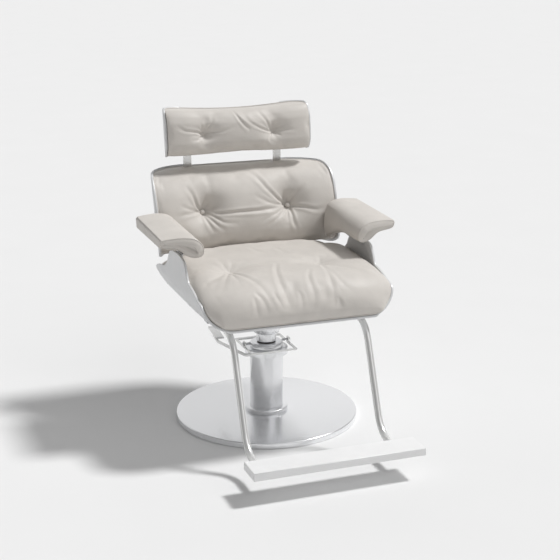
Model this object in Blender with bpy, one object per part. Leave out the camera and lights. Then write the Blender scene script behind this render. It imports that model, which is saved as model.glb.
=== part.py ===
"""Hydraulic barber chair with a bent shell seat, in metres, +Z up, the sitter facing -Y.

The origin is the centre of the base, on the floor. The seat is at the bottom of its travel.
Run with blender --background --python part.py, or from Blender's text editor.
"""

import math

import bmesh
import bpy
from mathutils import Matrix, Vector

GAP = 0.0003            # between two pieces that touch
ROUND = 32              # sides of a turned piece

# Base and pump
BASE_R = 0.300
MAT_R = 0.288
MAT_TOP = 0.005
PLATE_R = 0.286
COVER_SHEET = 0.0032
COVER_TOP = 0.020
COVER_EDGE = 0.004
COVER_FOOT = 0.001
BOLT_CIRCLE_R = 0.035
BOLT_R = 0.005
BOLT_HEAD_R = 0.009
BOLT_HEAD = 0.006
BOLT_TOP = 0.030
COLUMN_R = 0.0545
COLUMN_BORE_R = 0.049
COLUMN_FLOOR = 0.014
COLUMN_TOP = 0.2177
COLLAR_R = 0.071
FOOT_RING_TOP = 0.034
CYLINDER_R = 0.0345
CYLINDER_BORE_R = 0.0285
CYLINDER_FLOOR = 0.006
COLLAR_TOP = 0.2375
HEAD_R = 0.054
HEAD_TOP = 0.2562
BUSH_R = 0.0290
WIPER_R = 0.0300
WIPER_TOP = 0.2598

# Ram, inside the pump, and the swivel on top of it
RAM_R = 0.025
RAM_SHOULDER = 0.300
SPIGOT_R = 0.018
SPIGOT_TOP = 0.340
PISTON_R = 0.0279
PISTON_LOW = 0.0412
PISTON_HIGH = 0.0557
SEAL_R = 0.0283
SEAL_GROOVE_R = 0.0245
SEAL_LOW = 0.0465
SEAL_HIGH = 0.0505
BEARING_R = 0.0275
BEARING_HEIGHT = 0.008
HUB_LOW = 0.2605
HUB_TOP = 0.366
NUT_R = 0.026
NUT_TOP = 0.324

# Foot pedal
PIVOT_Z = 0.253
YOKE_X = 0.080
YOKE_INNER_X = 0.0735
YOKE_FRONT = -0.0785
YOKE_INNER_FRONT = -0.0725
YOKE_INNER_REAR = 0.0785
YOKE_REAR = 0.0905
YOKE_LOW = 0.2395
YOKE_HIGH = 0.2455
EAR_X = 0.0785
EAR_HALF_Y = 0.009
EAR_TOP = 0.2615
PIN_R = 0.004
PIN_HOLE_R = 0.0043
PLUNGER_Y = 0.0845
PLUNGER_R = 0.005
PLUNGER_LOW = 0.168
PLUNGER_CAP_R = 0.011
PLUNGER_CAP = 0.0037
BLOCK_TOP = 0.200
BLOCK_LOW = 0.134
BLOCK_HALF_X = 0.018
BLOCK_REAR = 0.1005
PEDAL_ROD_R = 0.005
PEDAL_Z = 0.2410
PAD_CENTRE = (-0.124, 0.157)
PAD_SIZE = (0.030, 0.124, 0.006)
PAD_TURN = math.radians(-5.7)

# Seat frame and footrest
MOUNT_HALF = 0.110
MOUNT_LOW = HUB_TOP + GAP
MOUNT_HIGH = 0.3743
BAR_HALF_X = 0.236
BAR_Y = 0.095
BAR_HALF_Y = 0.018
BAR_TOP = 0.3842
TUBE_X = 0.217
TUBE_R = 0.011
TUBE_WALL = 0.002
TUBE_Z = 0.3955
BOARD_CENTRE = (0.0, -0.604, 0.0883)
BOARD_SIZE = (0.537, 0.091, 0.024)
SHOCK_X = 0.160
SHOCK_R = 0.018

# Moulded shells, in which a flat middle turns up into two side walls
SHELL = 0.008
SHELL_HALF = 0.310
SHELL_CORNER = 0.090
BACK_HALF = 0.3135
BACK_CORNER = 0.148
SEAT_BOTTOM = 0.4075    # underside of the seat shell
BACK_LEAN = 0.318       # run over rise
BACK_TOP = 0.7905
BACK_LOW = 0.525
BACK_TOP_Y = 0.3567
HEAD_LEAN = 0.150
HEADREST_LOW = 0.8340
HEADREST_HIGH = 0.9920
HEADREST_HALF = 0.2515
HEADREST_CORNER = 0.075
HEADREST_DIP = 0.014
HEADREST_ARCH = 0.006
BRACE_X = 0.100
BRACE_THICK = 0.006
BRACE_OUT = 0.015       # from the back shell's middle surface, along Y
POST_X = 0.160
POST_WIDTH = 0.028
POST_THICK = 0.005
POST_IN = 0.0108        # from the back shell's middle surface, along Y
POST_BEND_LOW = 0.770   # between these two heights the posts stand upright
POST_BEND_HIGH = 0.835
BUTTON_X = 0.150
BUTTON_Y = 0.208
BUTTON_Z = 0.656
BUTTON_R = 0.0073
ARM_FRONT = -0.142
ARM_REAR = 0.160
ARM_OUTER = 0.388
ARM_WIDE = 0.1355
ARM_MIDDLE_X = 0.312
ARM_MIDDLE_Z = 0.640
ARM_SEAM_Z = 0.660
ARM_UPPER = 0.035       # from its middle to its top
ARM_FRONT_SKEW = 0.022  # its inner side starts this much further forward
ARM_REAR_SKEW = 0.012   # and ends this much sooner
ARM_FRONT_LEAN = 0.40   # run over rise of its front below the seam, at its outer side
ARM_INNER_LEAN = 0.16   # and at its inner side
ARM_REAR_LEAN = 0.35
ARM_FRONT_FALL = 0.006  # its top is this much lower at the front
ARM_REAR_RISE = 0.004   # and this much higher at the rear
ARM_DROP = 0.046        # its inner side is this much deeper at the rear
ARM_DROP_FROM = 0.46    # share of its length at which that starts
ARM_INNER = 0.040       # width of the deeper part's flank
ARM_LOWER = 0.055       # depth over which it comes in

COLOURS = {
    "brushed_steel": ((0.78, 0.78, 0.77), 0.35, 1.0),
    "satin_chrome": ((0.86, 0.86, 0.86), 0.22, 1.0),
    "steel": ((0.55, 0.55, 0.56), 0.4, 1.0),
    "cast_iron": ((0.20, 0.20, 0.21), 0.6, 1.0),
    "bronze": ((0.62, 0.44, 0.22), 0.4, 1.0),
    "shell_lacquer": ((0.80, 0.80, 0.81), 0.35, 0.0),
    "board_white": ((0.88, 0.88, 0.88), 0.4, 0.0),
    "leather": ((0.62, 0.58, 0.53), 0.55, 0.0),
    "black_rubber": ((0.03, 0.03, 0.03), 0.8, 0.0),
}


def clear_scene():
    for obj in list(bpy.data.objects):
        bpy.data.objects.remove(obj, do_unlink=True)


def material(name):
    """The Principled material of this name, made once."""
    found = bpy.data.materials.get(name)
    if found:
        return found
    colour, roughness, metallic = COLOURS[name]
    made = bpy.data.materials.new(name)
    made.use_nodes = True
    shader = made.node_tree.nodes["Principled BSDF"]
    shader.inputs["Base Color"].default_value = (*colour, 1)
    shader.inputs["Roughness"].default_value = roughness
    shader.inputs["Metallic"].default_value = metallic
    return made


def empty(name, place, parent=None):
    """A joint's axis, to which the pieces that move on it are parented."""
    made = bpy.data.objects.new(name, None)
    made["place"] = place
    made.location = place
    bpy.context.collection.objects.link(made)
    if parent:
        made.parent = parent
        made.matrix_parent_inverse = Matrix.Translation(-Vector(parent["place"]))
    return made


def add(name, mesh, finish, parent, place=(0, 0, 0), turn=(0, 0, 0)):
    """An object from a finished bmesh, at its place in the world, that follows parent."""
    bmesh.ops.recalc_face_normals(mesh, faces=mesh.faces)
    data = bpy.data.meshes.new(name)
    mesh.to_mesh(data)
    mesh.free()
    data.shade_smooth()
    data.set_sharp_from_angle(angle=math.radians(35))
    obj = bpy.data.objects.new(name, data)
    obj.location = place
    obj.rotation_euler = turn
    if finish:
        data.materials.append(material(finish))
    bpy.context.collection.objects.link(obj)
    if parent:
        obj.parent = parent
        obj.matrix_parent_inverse = Matrix.Translation(-Vector(parent["place"]))
    return obj


def skin(mesh, rings, closed=False):
    """Faces between neighbouring rings of vertices; the last meets the first if closed."""
    pairs = list(zip(rings, rings[1:] + (rings[:1] if closed else [])))
    for first, second in pairs[: len(rings) if closed else len(rings) - 1]:
        for i in range(len(first)):
            j = (i + 1) % len(first)
            mesh.faces.new((first[i], first[j], second[j], second[i]))


def turned(name, profile, finish, parent, place=(0, 0, 0), turn=(0, 0, 0), sides=ROUND):
    """A solid turned about Z from (radius, height) points.

    A profile that starts and ends on the axis closes there; any other is a closed outline.
    """
    mesh = bmesh.new()
    open_profile = profile[0][0] == 0
    rings = []
    for radius, height in profile:
        if radius == 0:
            rings.append([mesh.verts.new((0, 0, height))])
            continue
        angles = [2 * math.pi * i / sides for i in range(sides)]
        rings.append([mesh.verts.new((radius * math.cos(a), radius * math.sin(a), height))
                      for a in angles])
    if open_profile:
        skin(mesh, rings[1:-1])
        for pole, ring in ((rings[0][0], rings[1]), (rings[-1][0], rings[-2])):
            for i in range(sides):
                mesh.faces.new((pole, ring[i], ring[(i + 1) % sides]))
    else:
        skin(mesh, rings, closed=True)
    return add(name, mesh, finish, parent, place, turn)


def rod(name, radius, low, high, finish, parent, place=(0, 0, 0), turn=(0, 0, 0), sides=ROUND):
    profile = [(0, low), (radius, low), (radius, high), (0, high)]
    return turned(name, profile, finish, parent, place, turn, sides)


def ring(name, inner, outer, low, high, finish, parent, edge=0.0, place=(0, 0, 0)):
    """A ring whose outer top corner is rounded by edge."""
    profile = [(inner, low), (outer, low)] + corner_arc(outer, high, edge) + [(inner, high)]
    return turned(name, profile, finish, parent, place)


def corner_arc(radius, height, edge, steps=3):
    """Profile points round a convex outer top corner, from the side up to the top."""
    if edge == 0:
        return [(radius, height)]
    angles = [math.pi / 2 * i / steps for i in range(steps + 1)]
    return [(radius - edge + edge * math.cos(a), height - edge + edge * math.sin(a))
            for a in angles]


def prism(name, outline, low, high, finish, parent, axis="Z"):
    """An outline extruded from low to high along an axis.

    The outline's two numbers are the other two axes, in the order X, Y, Z.
    """
    order = {"Z": (0, 1, 2), "Y": (0, 2, 1), "X": (1, 2, 0)}[axis]
    mesh = bmesh.new()
    rings = []
    for level in (low, high):
        corners = []
        for a, b in outline:
            point = [0.0, 0.0, 0.0]
            point[order[0]], point[order[1]], point[order[2]] = a, b, level
            corners.append(mesh.verts.new(point))
        rings.append(corners)
        mesh.faces.new(corners)
    skin(mesh, rings)
    return add(name, mesh, finish, parent)


def box(name, low, high, finish, parent, edge=0.0, segments=2):
    """A box between two corners, with its edges rounded by edge."""
    centre = [(a + b) / 2 for a, b in zip(low, high)]
    size = [b - a for a, b in zip(low, high)]
    mesh = bmesh.new()
    bmesh.ops.create_cube(mesh, size=1, matrix=Matrix.Diagonal((*size, 1)))
    obj = add(name, mesh, finish, parent, centre)
    if edge:
        bevel = obj.modifiers.new("round", "BEVEL")
        bevel.width = edge
        bevel.segments = segments
    return obj


def fillet(points, radius, steps=5):
    """A path through these points with each inner corner rounded."""
    points = [Vector(p) for p in points]
    path = [points[0]]
    for before, corner, after in zip(points, points[1:], points[2:]):
        arrive = (corner - before).normalized()
        leave = (after - corner).normalized()
        half = arrive.angle(leave) / 2
        reach = radius * math.tan(half)
        centre = corner + (leave - arrive).normalized() * radius / math.cos(half)
        spoke = corner - arrive * reach - centre
        axis = arrive.cross(leave).normalized()
        for i in range(steps + 1):
            path.append(centre + Matrix.Rotation(2 * half * i / steps, 3, axis) @ spoke)
    return path + [points[-1]]


def swept(name, path, side, sections, finish, parent):
    """A bar along a flat path. Each section is a closed outline of (along side, across) points.

    A second section is the bore of a tube that is open at both ends.
    """
    mesh = bmesh.new()
    side = Vector(side)
    loops = []
    for section in sections:
        rings = []
        for i, point in enumerate(path):
            before = path[max(i - 1, 0)]
            after = path[min(i + 1, len(path) - 1)]
            across = side.cross((after - before).normalized())
            rings.append([mesh.verts.new(point + side * a + across * b) for a, b in section])
        skin(mesh, rings)
        loops.append(rings)
    for end in (0, -1):
        if len(loops) == 1:
            mesh.faces.new(loops[0][end])
        else:
            skin(mesh, [loops[0][end], loops[1][end]])
    return add(name, mesh, finish, parent)


def circle(radius, sides=12):
    angles = [2 * math.pi * i / sides for i in range(sides)]
    return [(radius * math.cos(a), radius * math.sin(a)) for a in angles]


def rectangle(width, height):
    return [(-width / 2, -height / 2), (width / 2, -height / 2),
            (width / 2, height / 2), (-width / 2, height / 2)]


def boolean(target, other, operation):
    """Cuts target with another object, or joins that object to it, and hides the other."""
    other.hide_render = True
    other.display_type = "WIRE"
    modifier = target.modifiers.new(operation.lower(), "BOOLEAN")
    modifier.operation = operation
    modifier.object = other


def shell(name, grid, finish, parent):
    """A sheet of SHELL thickness about a grid of points."""
    mesh = bmesh.new()
    rows = [[mesh.verts.new(p) for p in row] for row in grid]
    for first, second in zip(rows, rows[1:]):
        for i in range(len(first) - 1):
            mesh.faces.new((first[i], first[i + 1], second[i + 1], second[i]))
    obj = add(name, mesh, finish, parent)
    solidify = obj.modifiers.new("sheet", "SOLIDIFY")
    solidify.thickness = SHELL
    solidify.offset = 0
    solidify.use_even_offset = True
    return obj


def lofted(name, rings, finish, parent):
    """A closed solid through rings of points, capped at both ends."""
    mesh = bmesh.new()
    loops = [[mesh.verts.new(p) for p in points] for points in rings]
    skin(mesh, loops)
    mesh.faces.new(loops[0])
    mesh.faces.new(loops[-1])
    return add(name, mesh, finish, parent)


def bent(along, half, corner):
    """Where a sheet's point lies: (x, rise) at this distance along it from the middle."""
    flat = half - corner
    angle = min(max(abs(along) - flat, 0) / corner, math.pi / 2)
    wall = max(abs(along) - flat - corner * math.pi / 2, 0)
    x = min(abs(along), flat) + corner * math.sin(angle)
    return math.copysign(x, along), corner * (1 - math.cos(angle)) + wall


def bent_length(rise, half, corner):
    """The distance along the sheet at which it has risen this far."""
    turn = math.acos(max(1 - rise / corner, 0))
    return half - corner + corner * turn + max(rise - corner, 0)


def steps(low, high, count):
    return [low + (high - low) * i / (count - 1) for i in range(count)]


def seat_underside(y):
    """Height of the seat shell's underside on its centre line."""
    rise_front = 0.196 * max(-y - 0.14, 0) ** 2
    rise_rear = 1.06 * max(y - 0.12, 0) ** 2
    return SEAT_BOTTOM + rise_front + rise_rear


def back_y(z):
    """The back shell's middle surface on its centre line."""
    return BACK_TOP_Y - BACK_LEAN * (BACK_TOP - z)


def headrest_y(z):
    """The headrest shell's middle surface on its centre line, in front of the bent posts."""
    return back_y(POST_BEND_LOW) - POST_IN - 0.007 + HEAD_LEAN * (z - POST_BEND_HIGH)


def headrest_z(x, share, inset):
    """Height at a share of the way from the arched bottom edge to the dipped top edge."""
    low = HEADREST_LOW + inset
    high = HEADREST_HIGH - inset
    bow = HEADREST_ARCH * (1 - share) - HEADREST_DIP * share
    return low + share * (high - low) + bow * math.cos(math.pi / 2 * x / HEADREST_HALF)


def base_pieces():
    rod("floor_mat", MAT_R, 0, MAT_TOP, "black_rubber", None, sides=48)
    plate_top = COVER_TOP - COVER_SHEET - GAP
    plate = rod("base_plate", PLATE_R, MAT_TOP + GAP, plate_top, "cast_iron", None, sides=48)
    sheet_low = COVER_TOP - COVER_SHEET
    cover = turned("base_cover", [
        (0, sheet_low), (BASE_R - COVER_SHEET, sheet_low), (BASE_R - COVER_SHEET, COVER_FOOT),
        (BASE_R, COVER_FOOT), *corner_arc(BASE_R, COVER_TOP, COVER_EDGE), (0, COVER_TOP),
    ], "brushed_steel", None, sides=64)
    column = turned("pump_column", [
        (0, COVER_TOP + GAP), (COLUMN_R, COVER_TOP + GAP), (COLUMN_R, COLUMN_TOP),
        (COLUMN_BORE_R, COLUMN_TOP), (COLUMN_BORE_R, COVER_TOP + GAP + COLUMN_FLOOR),
        (0, COVER_TOP + GAP + COLUMN_FLOOR),
    ], "brushed_steel", None)
    head_low = MAT_TOP + 2 * GAP
    head_high = head_low + BOLT_HEAD
    for number in range(4):
        angle = math.radians(45 + 90 * number)
        place = (BOLT_CIRCLE_R * math.cos(angle), BOLT_CIRCLE_R * math.sin(angle), 0)
        turned(f"base_bolt_{number + 1}", [
            (0, head_low), (BOLT_HEAD_R, head_low), (BOLT_HEAD_R, head_high),
            (BOLT_R, head_high), (BOLT_R, BOLT_TOP), (0, BOLT_TOP),
        ], "steel", None, place, sides=12)
        cutter = turned(f"bolt_hole_{number + 1}", [
            (0, 0), (BOLT_HEAD_R + 0.001, 0), (BOLT_HEAD_R + 0.001, head_high + GAP),
            (BOLT_R + GAP, head_high + GAP), (BOLT_R + GAP, BOLT_TOP + 0.001),
            (0, BOLT_TOP + 0.001),
        ], None, None, place, sides=12)
        for target in (plate, cover, column):
            boolean(target, cutter, "DIFFERENCE")
    ring("foot_ring", COLUMN_R + GAP, COLLAR_R, COVER_TOP + GAP, FOOT_RING_TOP,
         "brushed_steel", None, edge=0.005)


def pump_pieces():
    cylinder_low = COVER_TOP + COLUMN_FLOOR + 2 * GAP
    turned("inner_cylinder", [
        (0, cylinder_low), (CYLINDER_R, cylinder_low), (CYLINDER_R, COLUMN_TOP),
        (CYLINDER_BORE_R, COLUMN_TOP), (CYLINDER_BORE_R, cylinder_low + CYLINDER_FLOOR),
        (0, cylinder_low + CYLINDER_FLOOR),
    ], "steel", None)
    ring("pump_collar", CYLINDER_BORE_R, COLLAR_R, COLUMN_TOP + GAP, COLLAR_TOP,
         "brushed_steel", None, edge=0.002)
    ring("pump_head", BUSH_R + GAP, HEAD_R, COLLAR_TOP + GAP, HEAD_TOP,
         "brushed_steel", None, edge=0.006)
    ring("guide_bush", RAM_R + 0.0001, BUSH_R, COLLAR_TOP + 2 * GAP, HEAD_TOP - GAP,
         "bronze", None)
    ring("wiper_ring", RAM_R + GAP, WIPER_R, HEAD_TOP + GAP, WIPER_TOP,
         "black_rubber", None, edge=0.001)
    block = box("pump_block", (-BLOCK_HALF_X, COLUMN_R - 0.010, BLOCK_LOW),
                (BLOCK_HALF_X, BLOCK_REAR, BLOCK_TOP), "brushed_steel", None, edge=0.003)
    boolean(block, rod("column_cut", COLUMN_R + GAP, 0.1, 0.3, None, None), "DIFFERENCE")
    bore = rod("plunger_bore", PLUNGER_R + GAP, PLUNGER_LOW - 0.027, 0.25, None, None,
               (0, PLUNGER_Y, 0), sides=16)
    boolean(block, bore, "DIFFERENCE")
    for side, name in ((-1, "left"), (1, "right")):
        start = HEAD_R + 2 * GAP
        head = EAR_X + 2 * GAP
        turned(f"yoke_pin_{name}", [
            (0, start), (PIN_R, start), (PIN_R, head), (0.0065, head), (0.0065, head + 0.0025),
            (0, head + 0.0025),
        ], "steel", None, (0, 0, PIVOT_Z), (0, side * math.pi / 2, 0), sides=16)


def plunger_pieces(axis):
    cap_low = YOKE_LOW - GAP - PLUNGER_CAP
    turned("pump_plunger", [
        (0, PLUNGER_LOW), (PLUNGER_R, PLUNGER_LOW), (PLUNGER_R, cap_low),
        (PLUNGER_CAP_R, cap_low), *corner_arc(PLUNGER_CAP_R, YOKE_LOW - GAP, 0.0015),
        (0, YOKE_LOW - GAP),
    ], "steel", axis, (0, PLUNGER_Y, 0), sides=16)
    coil_spring("plunger_spring", 0.0085, 0.0008, BLOCK_TOP + GAP, cap_low - GAP, 5)


def coil_spring(name, radius, wire, low, high, turns, per_turn=12, sides=5):
    """A coil round the plunger, whose wire stays between low and high."""
    mesh = bmesh.new()
    rings = []
    count = turns * per_turn
    for i in range(count + 1):
        angle = 2 * math.pi * i / per_turn
        height = low + wire + (high - low - 2 * wire) * i / count
        out = Vector((math.cos(angle), math.sin(angle), 0))
        middle = out * radius + Vector((0, 0, height))
        rings.append([mesh.verts.new(middle + out * a + Vector((0, 0, b)))
                      for a, b in circle(wire, sides)])
    skin(mesh, rings)
    mesh.faces.new(rings[0])
    mesh.faces.new(rings[-1])
    return add(name, mesh, "steel", None, (0, PLUNGER_Y, 0))


def pedal_pieces(axis):
    yoke = box("pedal_yoke", (-YOKE_X, YOKE_FRONT, YOKE_LOW), (YOKE_X, YOKE_REAR, YOKE_HIGH),
               "satin_chrome", axis)
    for side in (-1, 1):
        low, high = sorted((side * YOKE_INNER_X, side * EAR_X))
        ear = box(f"ear_{side}", (low, -EAR_HALF_Y, YOKE_LOW + 0.001),
                  (high, EAR_HALF_Y, EAR_TOP), None, None)
        boolean(yoke, ear, "UNION")
    opening = box("yoke_opening", (-YOKE_INNER_X, YOKE_INNER_FRONT, YOKE_LOW - 0.01),
                  (YOKE_INNER_X, YOKE_INNER_REAR, EAR_TOP + 0.01), None, None)
    boolean(yoke, opening, "DIFFERENCE")
    hole = rod("yoke_pin_hole", PIN_HOLE_R, -0.1, 0.1, None, None, (0, 0, PIVOT_Z),
               (0, math.pi / 2, 0), sides=16)
    boolean(yoke, hole, "DIFFERENCE")
    route = fillet([(-YOKE_X - GAP, -0.071, PEDAL_Z), (-0.097, -0.071, PEDAL_Z),
                    (-0.139, 0.089, PEDAL_Z), (-0.133, 0.150, PEDAL_Z)], 0.010, 3)
    swept("pedal_rod", route, (0, 0, 1), [circle(PEDAL_ROD_R, 10)], "satin_chrome", axis)
    plate_low = PEDAL_Z + PEDAL_ROD_R + GAP
    half = [size / 2 for size in PAD_SIZE]
    plate = box("pedal_plate", [-h for h in half], half, "satin_chrome", axis, 0.0015, 2)
    plate.location = (*PAD_CENTRE, plate_low + half[2])
    plate.rotation_euler = (0, 0, PAD_TURN)


def ram_pieces(axis):
    turned("ram", [
        (0, PISTON_HIGH + GAP), (RAM_R, PISTON_HIGH + GAP), (RAM_R, RAM_SHOULDER),
        (SPIGOT_R, RAM_SHOULDER), (SPIGOT_R, SPIGOT_TOP), (0, SPIGOT_TOP),
    ], "satin_chrome", axis)
    turned("ram_piston", [
        (0, PISTON_LOW), (PISTON_R, PISTON_LOW), (PISTON_R, SEAL_LOW), (SEAL_GROOVE_R, SEAL_LOW),
        (SEAL_GROOVE_R, SEAL_HIGH), (PISTON_R, SEAL_HIGH), (PISTON_R, PISTON_HIGH),
        (0, PISTON_HIGH),
    ], "steel", axis)
    ring("piston_seal", SEAL_GROOVE_R + GAP, SEAL_R, SEAL_LOW + GAP, SEAL_HIGH - GAP,
         "black_rubber", axis)
    ring("thrust_bearing", SPIGOT_R + GAP, BEARING_R, RAM_SHOULDER + GAP,
         RAM_SHOULDER + GAP + BEARING_HEIGHT, "steel", axis)
    nut_low = 0.3118
    mesh_nut = turned("spindle_nut", [
        (SPIGOT_R + GAP, nut_low), (NUT_R, nut_low), (NUT_R, NUT_TOP), (SPIGOT_R + GAP, NUT_TOP),
    ], "steel", axis, sides=ROUND)
    hexagon = prism("nut_flats", circle(NUT_R, 6), 0.30, 0.35, None, None)
    boolean(mesh_nut, hexagon, "INTERSECT")


def hub_and_frame(axis):
    bore = CYLINDER_BORE_R
    web_low = RAM_SHOULDER + BEARING_HEIGHT + 0.0007
    web_high = 0.3115
    turned("swivel_hub", [
        (0.0325, HUB_LOW), (0.0325, 0.286), (0.0425, 0.290), (0.0490, 0.305), (0.0490, 0.318),
        (0.0450, 0.322), (0.0450, HUB_TOP), (0.0320, HUB_TOP), (0.0320, web_high),
        (SPIGOT_R + 0.0007, web_high), (SPIGOT_R + 0.0007, web_low), (bore, web_low),
        (bore, HUB_LOW),
    ], "brushed_steel", axis)
    box("mount_plate", (-MOUNT_HALF, -MOUNT_HALF, MOUNT_LOW),
        (MOUNT_HALF, MOUNT_HALF, MOUNT_HIGH), "steel", axis, edge=0.002, segments=1)
    for side, name in ((-1, "front"), (1, "rear")):
        box(f"{name}_crossbar", (-BAR_HALF_X, side * BAR_Y - BAR_HALF_Y, MOUNT_HIGH + GAP),
            (BAR_HALF_X, side * BAR_Y + BAR_HALF_Y, BAR_TOP), "steel", axis, 0.002, 1)
        for hand, hand_name in ((-1, "left"), (1, "right")):
            rod(f"{name}_shock_mount_{hand_name}", SHOCK_R, BAR_TOP + GAP, SEAT_BOTTOM - GAP,
                "black_rubber", axis, (hand * SHOCK_X, side * BAR_Y, 0), sides=16)


def footrest(axis):
    route = [(0.115, TUBE_Z), (-0.308, TUBE_Z), (-0.443, 0.065), (-0.579, 0.065)]
    for side, name in ((-1, "left"), (1, "right")):
        x = side * TUBE_X
        path = fillet([(x, y, z) for y, z in route], 0.095, 6)
        swept(f"footrest_tube_{name}", path, (1, 0, 0),
              [circle(TUBE_R), circle(TUBE_R - TUBE_WALL)], "satin_chrome", axis)
        saddle(f"tube_saddle_{name}", x, 0.065, -0.577, -0.561, axis)
    low = [c - s / 2 for c, s in zip(BOARD_CENTRE, BOARD_SIZE)]
    high = [c + s / 2 for c, s in zip(BOARD_CENTRE, BOARD_SIZE)]
    box("footrest_board", low, high, "board_white", axis, edge=0.0015, segments=1)


def saddle(name, x, z, low, high, axis):
    """A strap bent under a tube, with a foot on each side against the board."""
    inner = TUBE_R + GAP
    outer = inner + 0.002
    top = z + TUBE_R
    foot = outer + 0.010
    arc = [math.pi * i / 8 for i in range(9)]
    outside = [(x - outer * math.cos(a), z - outer * math.sin(a)) for a in arc]
    inside = [(x + inner * math.cos(a), z - inner * math.sin(a)) for a in arc]
    outline = [(x - foot, top), (x - foot, top - 0.002), (x - outer, top - 0.002), *outside,
               (x + outer, top - 0.002), (x + foot, top - 0.002), (x + foot, top),
               (x + inner, top), *inside, (x - inner, top)]
    prism(name, outline, low, high, "steel", axis, axis="Y")


def seat_shell_grid(columns=25):
    """Rows from front to rear, each as long as the side wall is high there."""
    wall_top = [(-0.350, 0.424), (-0.339, 0.4255), (-0.331, 0.430), (-0.321, 0.448),
                (-0.313, 0.468), (-0.305, 0.487), (-0.295, 0.498), (-0.270, 0.504),
                (-0.230, 0.517), (-0.204, 0.524), (-0.168, 0.533), (-0.157, 0.549),
                (-0.147, 0.566), (-0.133, 0.584), (-0.118, 0.591), (-0.072, 0.5965),
                (-0.002, 0.592), (0.028, 0.583), (0.042, 0.568), (0.053, 0.550),
                (0.070, 0.534), (0.105, 0.517), (0.165, 0.506), (0.210, 0.490),
                (0.230, 0.473)]
    grid = []
    for y, top in wall_top:
        middle = seat_underside(y) + SHELL / 2
        reach = bent_length(top - middle, SHELL_HALF, SHELL_CORNER)
        row = []
        for along in steps(-reach, reach, columns):
            x, rise = bent(along, SHELL_HALF, SHELL_CORNER)
            row.append((x, y, middle + rise))
        grid.append(row)
    return grid


def back_shell_grid(columns=21):
    edge_depth = [(BACK_LOW, 0.085), (0.529, 0.105), (0.536, 0.122), (0.548, 0.138),
                  (0.568, 0.146), (0.600, 0.150), (0.640, 0.152), (0.683, 0.152),
                  (0.713, 0.149), (0.728, 0.147), (0.743, 0.1425), (0.757, 0.135),
                  (0.769, 0.124), (0.779, 0.109), (0.786, 0.092), (BACK_TOP, 0.064)]
    grid = []
    for z, depth in edge_depth:
        reach = bent_length(depth, BACK_HALF, BACK_CORNER)
        row = []
        for along in steps(-reach, reach, columns):
            x, rise = bent(along, BACK_HALF, BACK_CORNER)
            row.append((x, back_y(z) - rise, z))
        grid.append(row)
    return grid


def headrest_shell_grid(columns=17):
    edge_depth = [(0.0, 0.054), (0.04, 0.064), (0.1, 0.0695), (0.25, 0.080), (0.5, 0.083),
                  (0.7, 0.083), (0.88, 0.073), (0.94, 0.068), (1.0, 0.050)]
    grid = []
    for share, depth in edge_depth:
        reach = bent_length(depth, HEADREST_HALF, HEADREST_CORNER)
        row = []
        for along in steps(-reach, reach, columns):
            x, rise = bent(along, HEADREST_HALF, HEADREST_CORNER)
            z = headrest_z(x, share, 0)
            row.append((x, headrest_y(z) - rise, z))
        grid.append(row)
    return grid


def crown(x, half):
    """1 in the middle of a cushion's width, 0 at its sides."""
    return max(1 - (x / half) ** 4, 0) ** 0.5


def seat_cushion(axis, half=0.302, corner=0.082, around=13, across=9):
    """Stations from front to rear: place, height of the side seam, height of the crown."""
    stations = [(-0.352, 0.434, 0.482), (-0.341, 0.438, 0.512), (-0.329, 0.449, 0.526),
                (-0.316, 0.468, 0.535), (-0.300, 0.486, 0.541), (-0.240, 0.505, 0.550),
                (-0.120, 0.524, 0.550), (0.020, 0.530, 0.550), (0.100, 0.520, 0.549),
                (0.150, 0.500, 0.545), (0.180, 0.485, 0.530), (0.202, 0.470, 0.495)]
    rings = []
    for y, seam, top in stations:
        low = seat_underside(y) + SHELL + 0.0035
        reach = bent_length(seam - low, half, corner)
        under = [bent(a, half, corner) for a in steps(-reach, reach, around)]
        side = under[-1][0]
        points = [(x, y, low + rise) for x, rise in under]
        points += [(x, y, seam + (top - seam) * crown(x, side))
                   for x in steps(side, -side, across)[1:-1]]
        rings.append(points)
    lofted("seat_cushion", rings, "leather", axis)


def back_cushion(axis, half=0.305, corner=0.1395, around=15, across=11):
    """Stations from bottom to top: height, the sides' depth, the crown's depth."""
    behind = SHELL / 2 + 0.0125
    stations = [(0.545, 0.100, 0.104), (0.553, 0.120, 0.124), (0.570, 0.134, 0.138),
                (0.610, 0.143, 0.147), (0.670, 0.144, 0.148), (0.725, 0.137, 0.140),
                (0.755, 0.120, 0.122), (0.771, 0.096, 0.098), (0.779, 0.070, 0.072)]
    rings = []
    for z, seam, top in stations:
        reach = bent_length(seam - behind, half, corner)
        rear = [bent(a, half, corner) for a in steps(-reach, reach, around)]
        side = rear[-1][0]
        points = [(x, back_y(z) - behind - rise, z) for x, rise in rear]
        points += [(x, back_y(z) - seam - (top - seam) * crown(x, side), z)
                   for x in steps(side, -side, across)[1:-1]]
        rings.append(points)
    cushion = lofted("back_cushion", rings, "leather", axis)
    tilt = (math.pi / 2 - math.atan(BACK_LEAN), 0, 0)
    for side, name in ((-1, "left"), (1, "right")):
        place = (side * BUTTON_X, BUTTON_Y, BUTTON_Z)
        rod(f"back_button_{name}", BUTTON_R, 0, 0.006, "leather", axis, place, tilt, sides=16)
        dimple = turned(f"button_dimple_{name}", [
            (0, -0.001), (BUTTON_R + GAP, -0.001), (BUTTON_R + 0.0007, 0.004),
            (0.030, 0.040), (0, 0.040),
        ], None, None, place, tilt, sides=20)
        boolean(cushion, dimple, "DIFFERENCE")


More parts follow.
